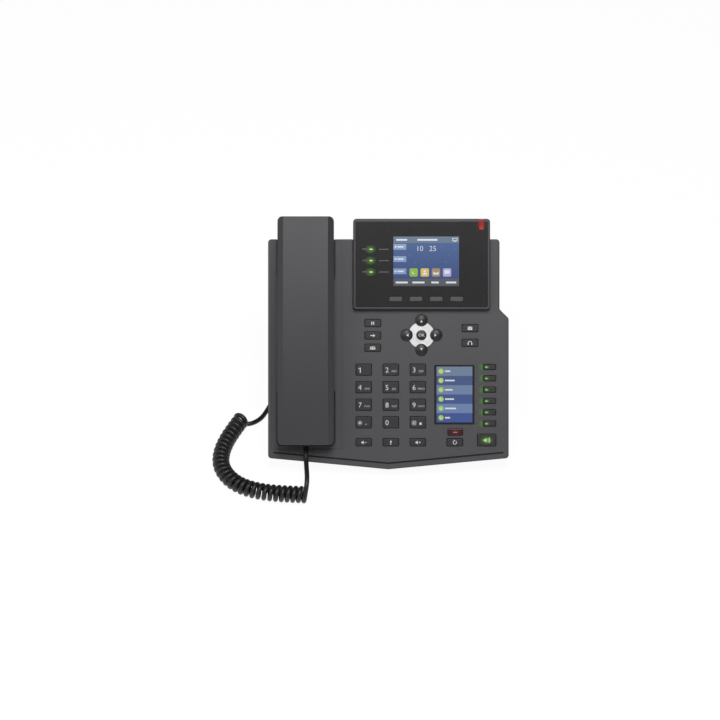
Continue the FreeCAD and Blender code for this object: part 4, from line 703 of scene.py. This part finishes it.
# side screen: six rows that belong to the memory keys
side = {"left": 42.0, "right": 73.3, "low": 41.0, "high": 89.7, "level": -0.9, "rows": 6,
        "dotX": 45.9, "dotRadius": 2.3, "barX": 49.4, "barTall": 1.3, "bars": (4.6, 8.4, 6.6, 7.8, 9.6, 4.4)}
sideTone = {"rowPale": ("#6f88b8", "#75869c"), "rowDeep": ("#45599a", "#4d6082"),
            "rowDot": ("#a9cf5e", "#b9d566")}
for kind, tones in sideTone.items():
    finish[kind] = litSurface("side screen, " + kind, *tones, screen["glow"], side["low"], side["high"])
rowTall = (side["high"] - side["low"]) / side["rows"]
rowSpots = [side["high"] - rowTall * (i + 0.5) for i in range(side["rows"])]
sideMiddle = (side["left"] + side["right"]) / 2
sideWide = side["right"] - side["left"]
ground = side["level"]
above = ground + screen["layer"]
front = above + screen["layer"]
for kind, first in (("rowPale", 0), ("rowDeep", 1)):
    rows = [rectangle(sideMiddle, v, sideWide, rowTall) for v in rowSpots[first::2]]
    screenPlate("side" + kind, rows, ground, kind)
screenPlate("sideDots", [disc(side["dotX"], v, side["dotRadius"]) for v in rowSpots], above, "rowDot")
bars = []
for v, wide in zip(rowSpots, side["bars"]):
    bars.append(rectangle(side["barX"] + wide / 2, v, wide, side["barTall"]))
screenPlate("sideBars", bars, above, "screenWhite")
receiver = [band(0.7, 0.7, 1.2, 1.8, 180, 270, 8)]
screenPlate("sideDotSigns", [moved(receiver, side["dotX"], v)[0] for v in rowSpots], front, "screenWhite")
print("screens made")

# screws in the back shell, set by a node tree on four points
screws = {"head": 3.4, "thick": 1.2, "drive": 1.1, "driveDeep": 2, "headSides": 24, "driveSides": 6,
          "leftX": -88, "rightX": 80, "low": 28, "high": 184, "back": -32}


def screwTree():
    tree = bpy.data.node_groups.new("screwRow", "GeometryNodeTree")
    tree.interface.new_socket("Geometry", in_out="INPUT", socket_type="NodeSocketGeometry")
    for label in ("Head Radius", "Head Height", "Tilt"):
        tree.interface.new_socket(label, in_out="INPUT", socket_type="NodeSocketFloat")
    tree.interface.new_socket("Geometry", in_out="OUTPUT", socket_type="NodeSocketGeometry")
    given = addNode(tree, "NodeGroupInput").outputs
    head = addNode(tree, "GeometryNodeMeshCylinder", inputs={
        "Vertices": screws["headSides"], "Radius": given["Head Radius"], "Depth": given["Head Height"]})
    drive = addNode(tree, "GeometryNodeMeshCylinder", inputs={
        "Vertices": screws["driveSides"], "Radius": screws["drive"] * mm, "Depth": screws["driveDeep"] * mm})
    cut = addNode(tree, "GeometryNodeMeshBoolean", {"operation": "DIFFERENCE"},
                  {"Mesh 1": head.outputs["Mesh"], "Mesh 2": drive.outputs["Mesh"]})
    turn = addNode(tree, "ShaderNodeCombineXYZ", inputs={"X": given["Tilt"]})
    spread = addNode(tree, "GeometryNodeInstanceOnPoints", inputs={
        "Points": given["Geometry"], "Instance": cut.outputs["Mesh"], "Rotation": turn.outputs[0]})
    real = addNode(tree, "GeometryNodeRealizeInstances", inputs={"Geometry": spread.outputs[0]})
    coated = addNode(tree, "GeometryNodeSetMaterial", inputs={
        "Geometry": real.outputs[0], "Material": finish["steel"]})
    addNode(tree, "NodeGroupOutput", inputs={"Geometry": coated.outputs[0]})
    return tree


spots = [facePoint(x, v, screws["back"]) for x in (screws["leftX"], screws["rightX"])
         for v in (screws["low"], screws["high"])]
data = bpy.data.meshes.new("backScrews")
data.from_pydata(spots, [], [])
holder = addObject("screwPoints", data)
modifier = holder.modifiers.new("screws", "NODES")
tree = screwTree()
modifier.node_group = tree
settings = {"Head Radius": screws["head"] * mm, "Head Height": screws["thick"] * mm,
            "Tilt": math.radians(face["tilt"])}
for item in tree.interface.items_tree:
    if item.in_out == "INPUT" and item.name in settings:
        modifier[item.identifier] = settings[item.name]
ready = holder.evaluated_get(bpy.context.evaluated_depsgraph_get())
made = bpy.data.meshes.new_from_object(ready)
holder.modifiers.remove(modifier)
bpy.data.objects.remove(holder)
piece = addObject("backScrews", made)
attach(piece, "base")
print("screws made:", len(spots))

# pale floor, white to the eye, with a trace of the phone's shadow
floorLook = {"half": 6, "z": -0.0005, "colour": "#f4f4f4", "white": 1.05, "whiteShare": 0.9}


def seenRays(tree, kinds):
    rays = addNode(tree, "ShaderNodeLightPath").outputs
    seen = rays[kinds[0]]
    for kind in kinds[1:]:
        seen = addNode(tree, "ShaderNodeMath", {"operation": "MAXIMUM"}, {0: seen, 1: rays[kind]}).outputs[0]
    return seen


def paleFloor():
    material, tree = newMaterial("pale matt floor")
    seen = seenRays(tree, ("Is Camera Ray", "Is Glossy Ray", "Is Transmission Ray"))
    share = valueBetween(tree, seen, 0.0, floorLook["whiteShare"])
    matt = addNode(tree, "ShaderNodeBsdfDiffuse", inputs={"Color": linear(floorLook["colour"])}).outputs[0]
    white = addNode(tree, "ShaderNodeEmission", inputs={
        "Color": linear("#ffffff"), "Strength": floorLook["white"]}).outputs[0]
    closeMaterial(tree, addNode(tree, "ShaderNodeMixShader", inputs={0: share, 1: matt, 2: white}))
    return material


half = floorLook["half"]
data = bpy.data.meshes.new("floor")
data.from_pydata([(-half, -half, 0), (half, -half, 0), (half, half, 0), (-half, half, 0)], [], [(0, 1, 2, 3)])
data.materials.append(paleFloor())
floor = addObject("floor", data)
floor.location.z = floorLook["z"]

# world: white where it is seen, dim as a light
sky = {"light": 0.2, "seen": 1.0}
world = bpy.data.worlds.new("studio")
world.use_nodes = True
bpy.context.scene.world = world
tree = world.node_tree
tree.nodes.clear()
seen = seenRays(tree, ("Is Camera Ray", "Is Transmission Ray"))
strength = valueBetween(tree, seen, sky["light"], sky["seen"])
background = addNode(tree, "ShaderNodeBackground", inputs={"Color": linear("#ffffff"), "Strength": strength})
addNode(tree, "ShaderNodeOutputWorld", inputs={"Surface": background.outputs[0]})

# lights aim at the middle of the face: place as x, v, n in mm, size in m, power in W
lights = {
    "high": {"place": (60, 730, 1300), "size": 0.6, "power": 11.5},
    "left": {"place": (-900, 410, 900), "size": 0.9, "power": 3.0},
    "low": {"place": (200, -690, 900), "size": 0.8, "power": 0.8},
}
faceMiddle = facePoint(0, 110)
for name, s in lights.items():
    lamp = bpy.data.lights.new(name, "AREA")
    lamp.size = s["size"]
    lamp.energy = s["power"]
    holder = addObject(name, lamp)
    holder.location = facePoint(*s["place"])
    holder.rotation_euler = (faceMiddle - holder.location).to_track_quat("-Z", "Y").to_euler()
bpy.context.scene.view_settings.view_transform = "Standard"
print("studio set")
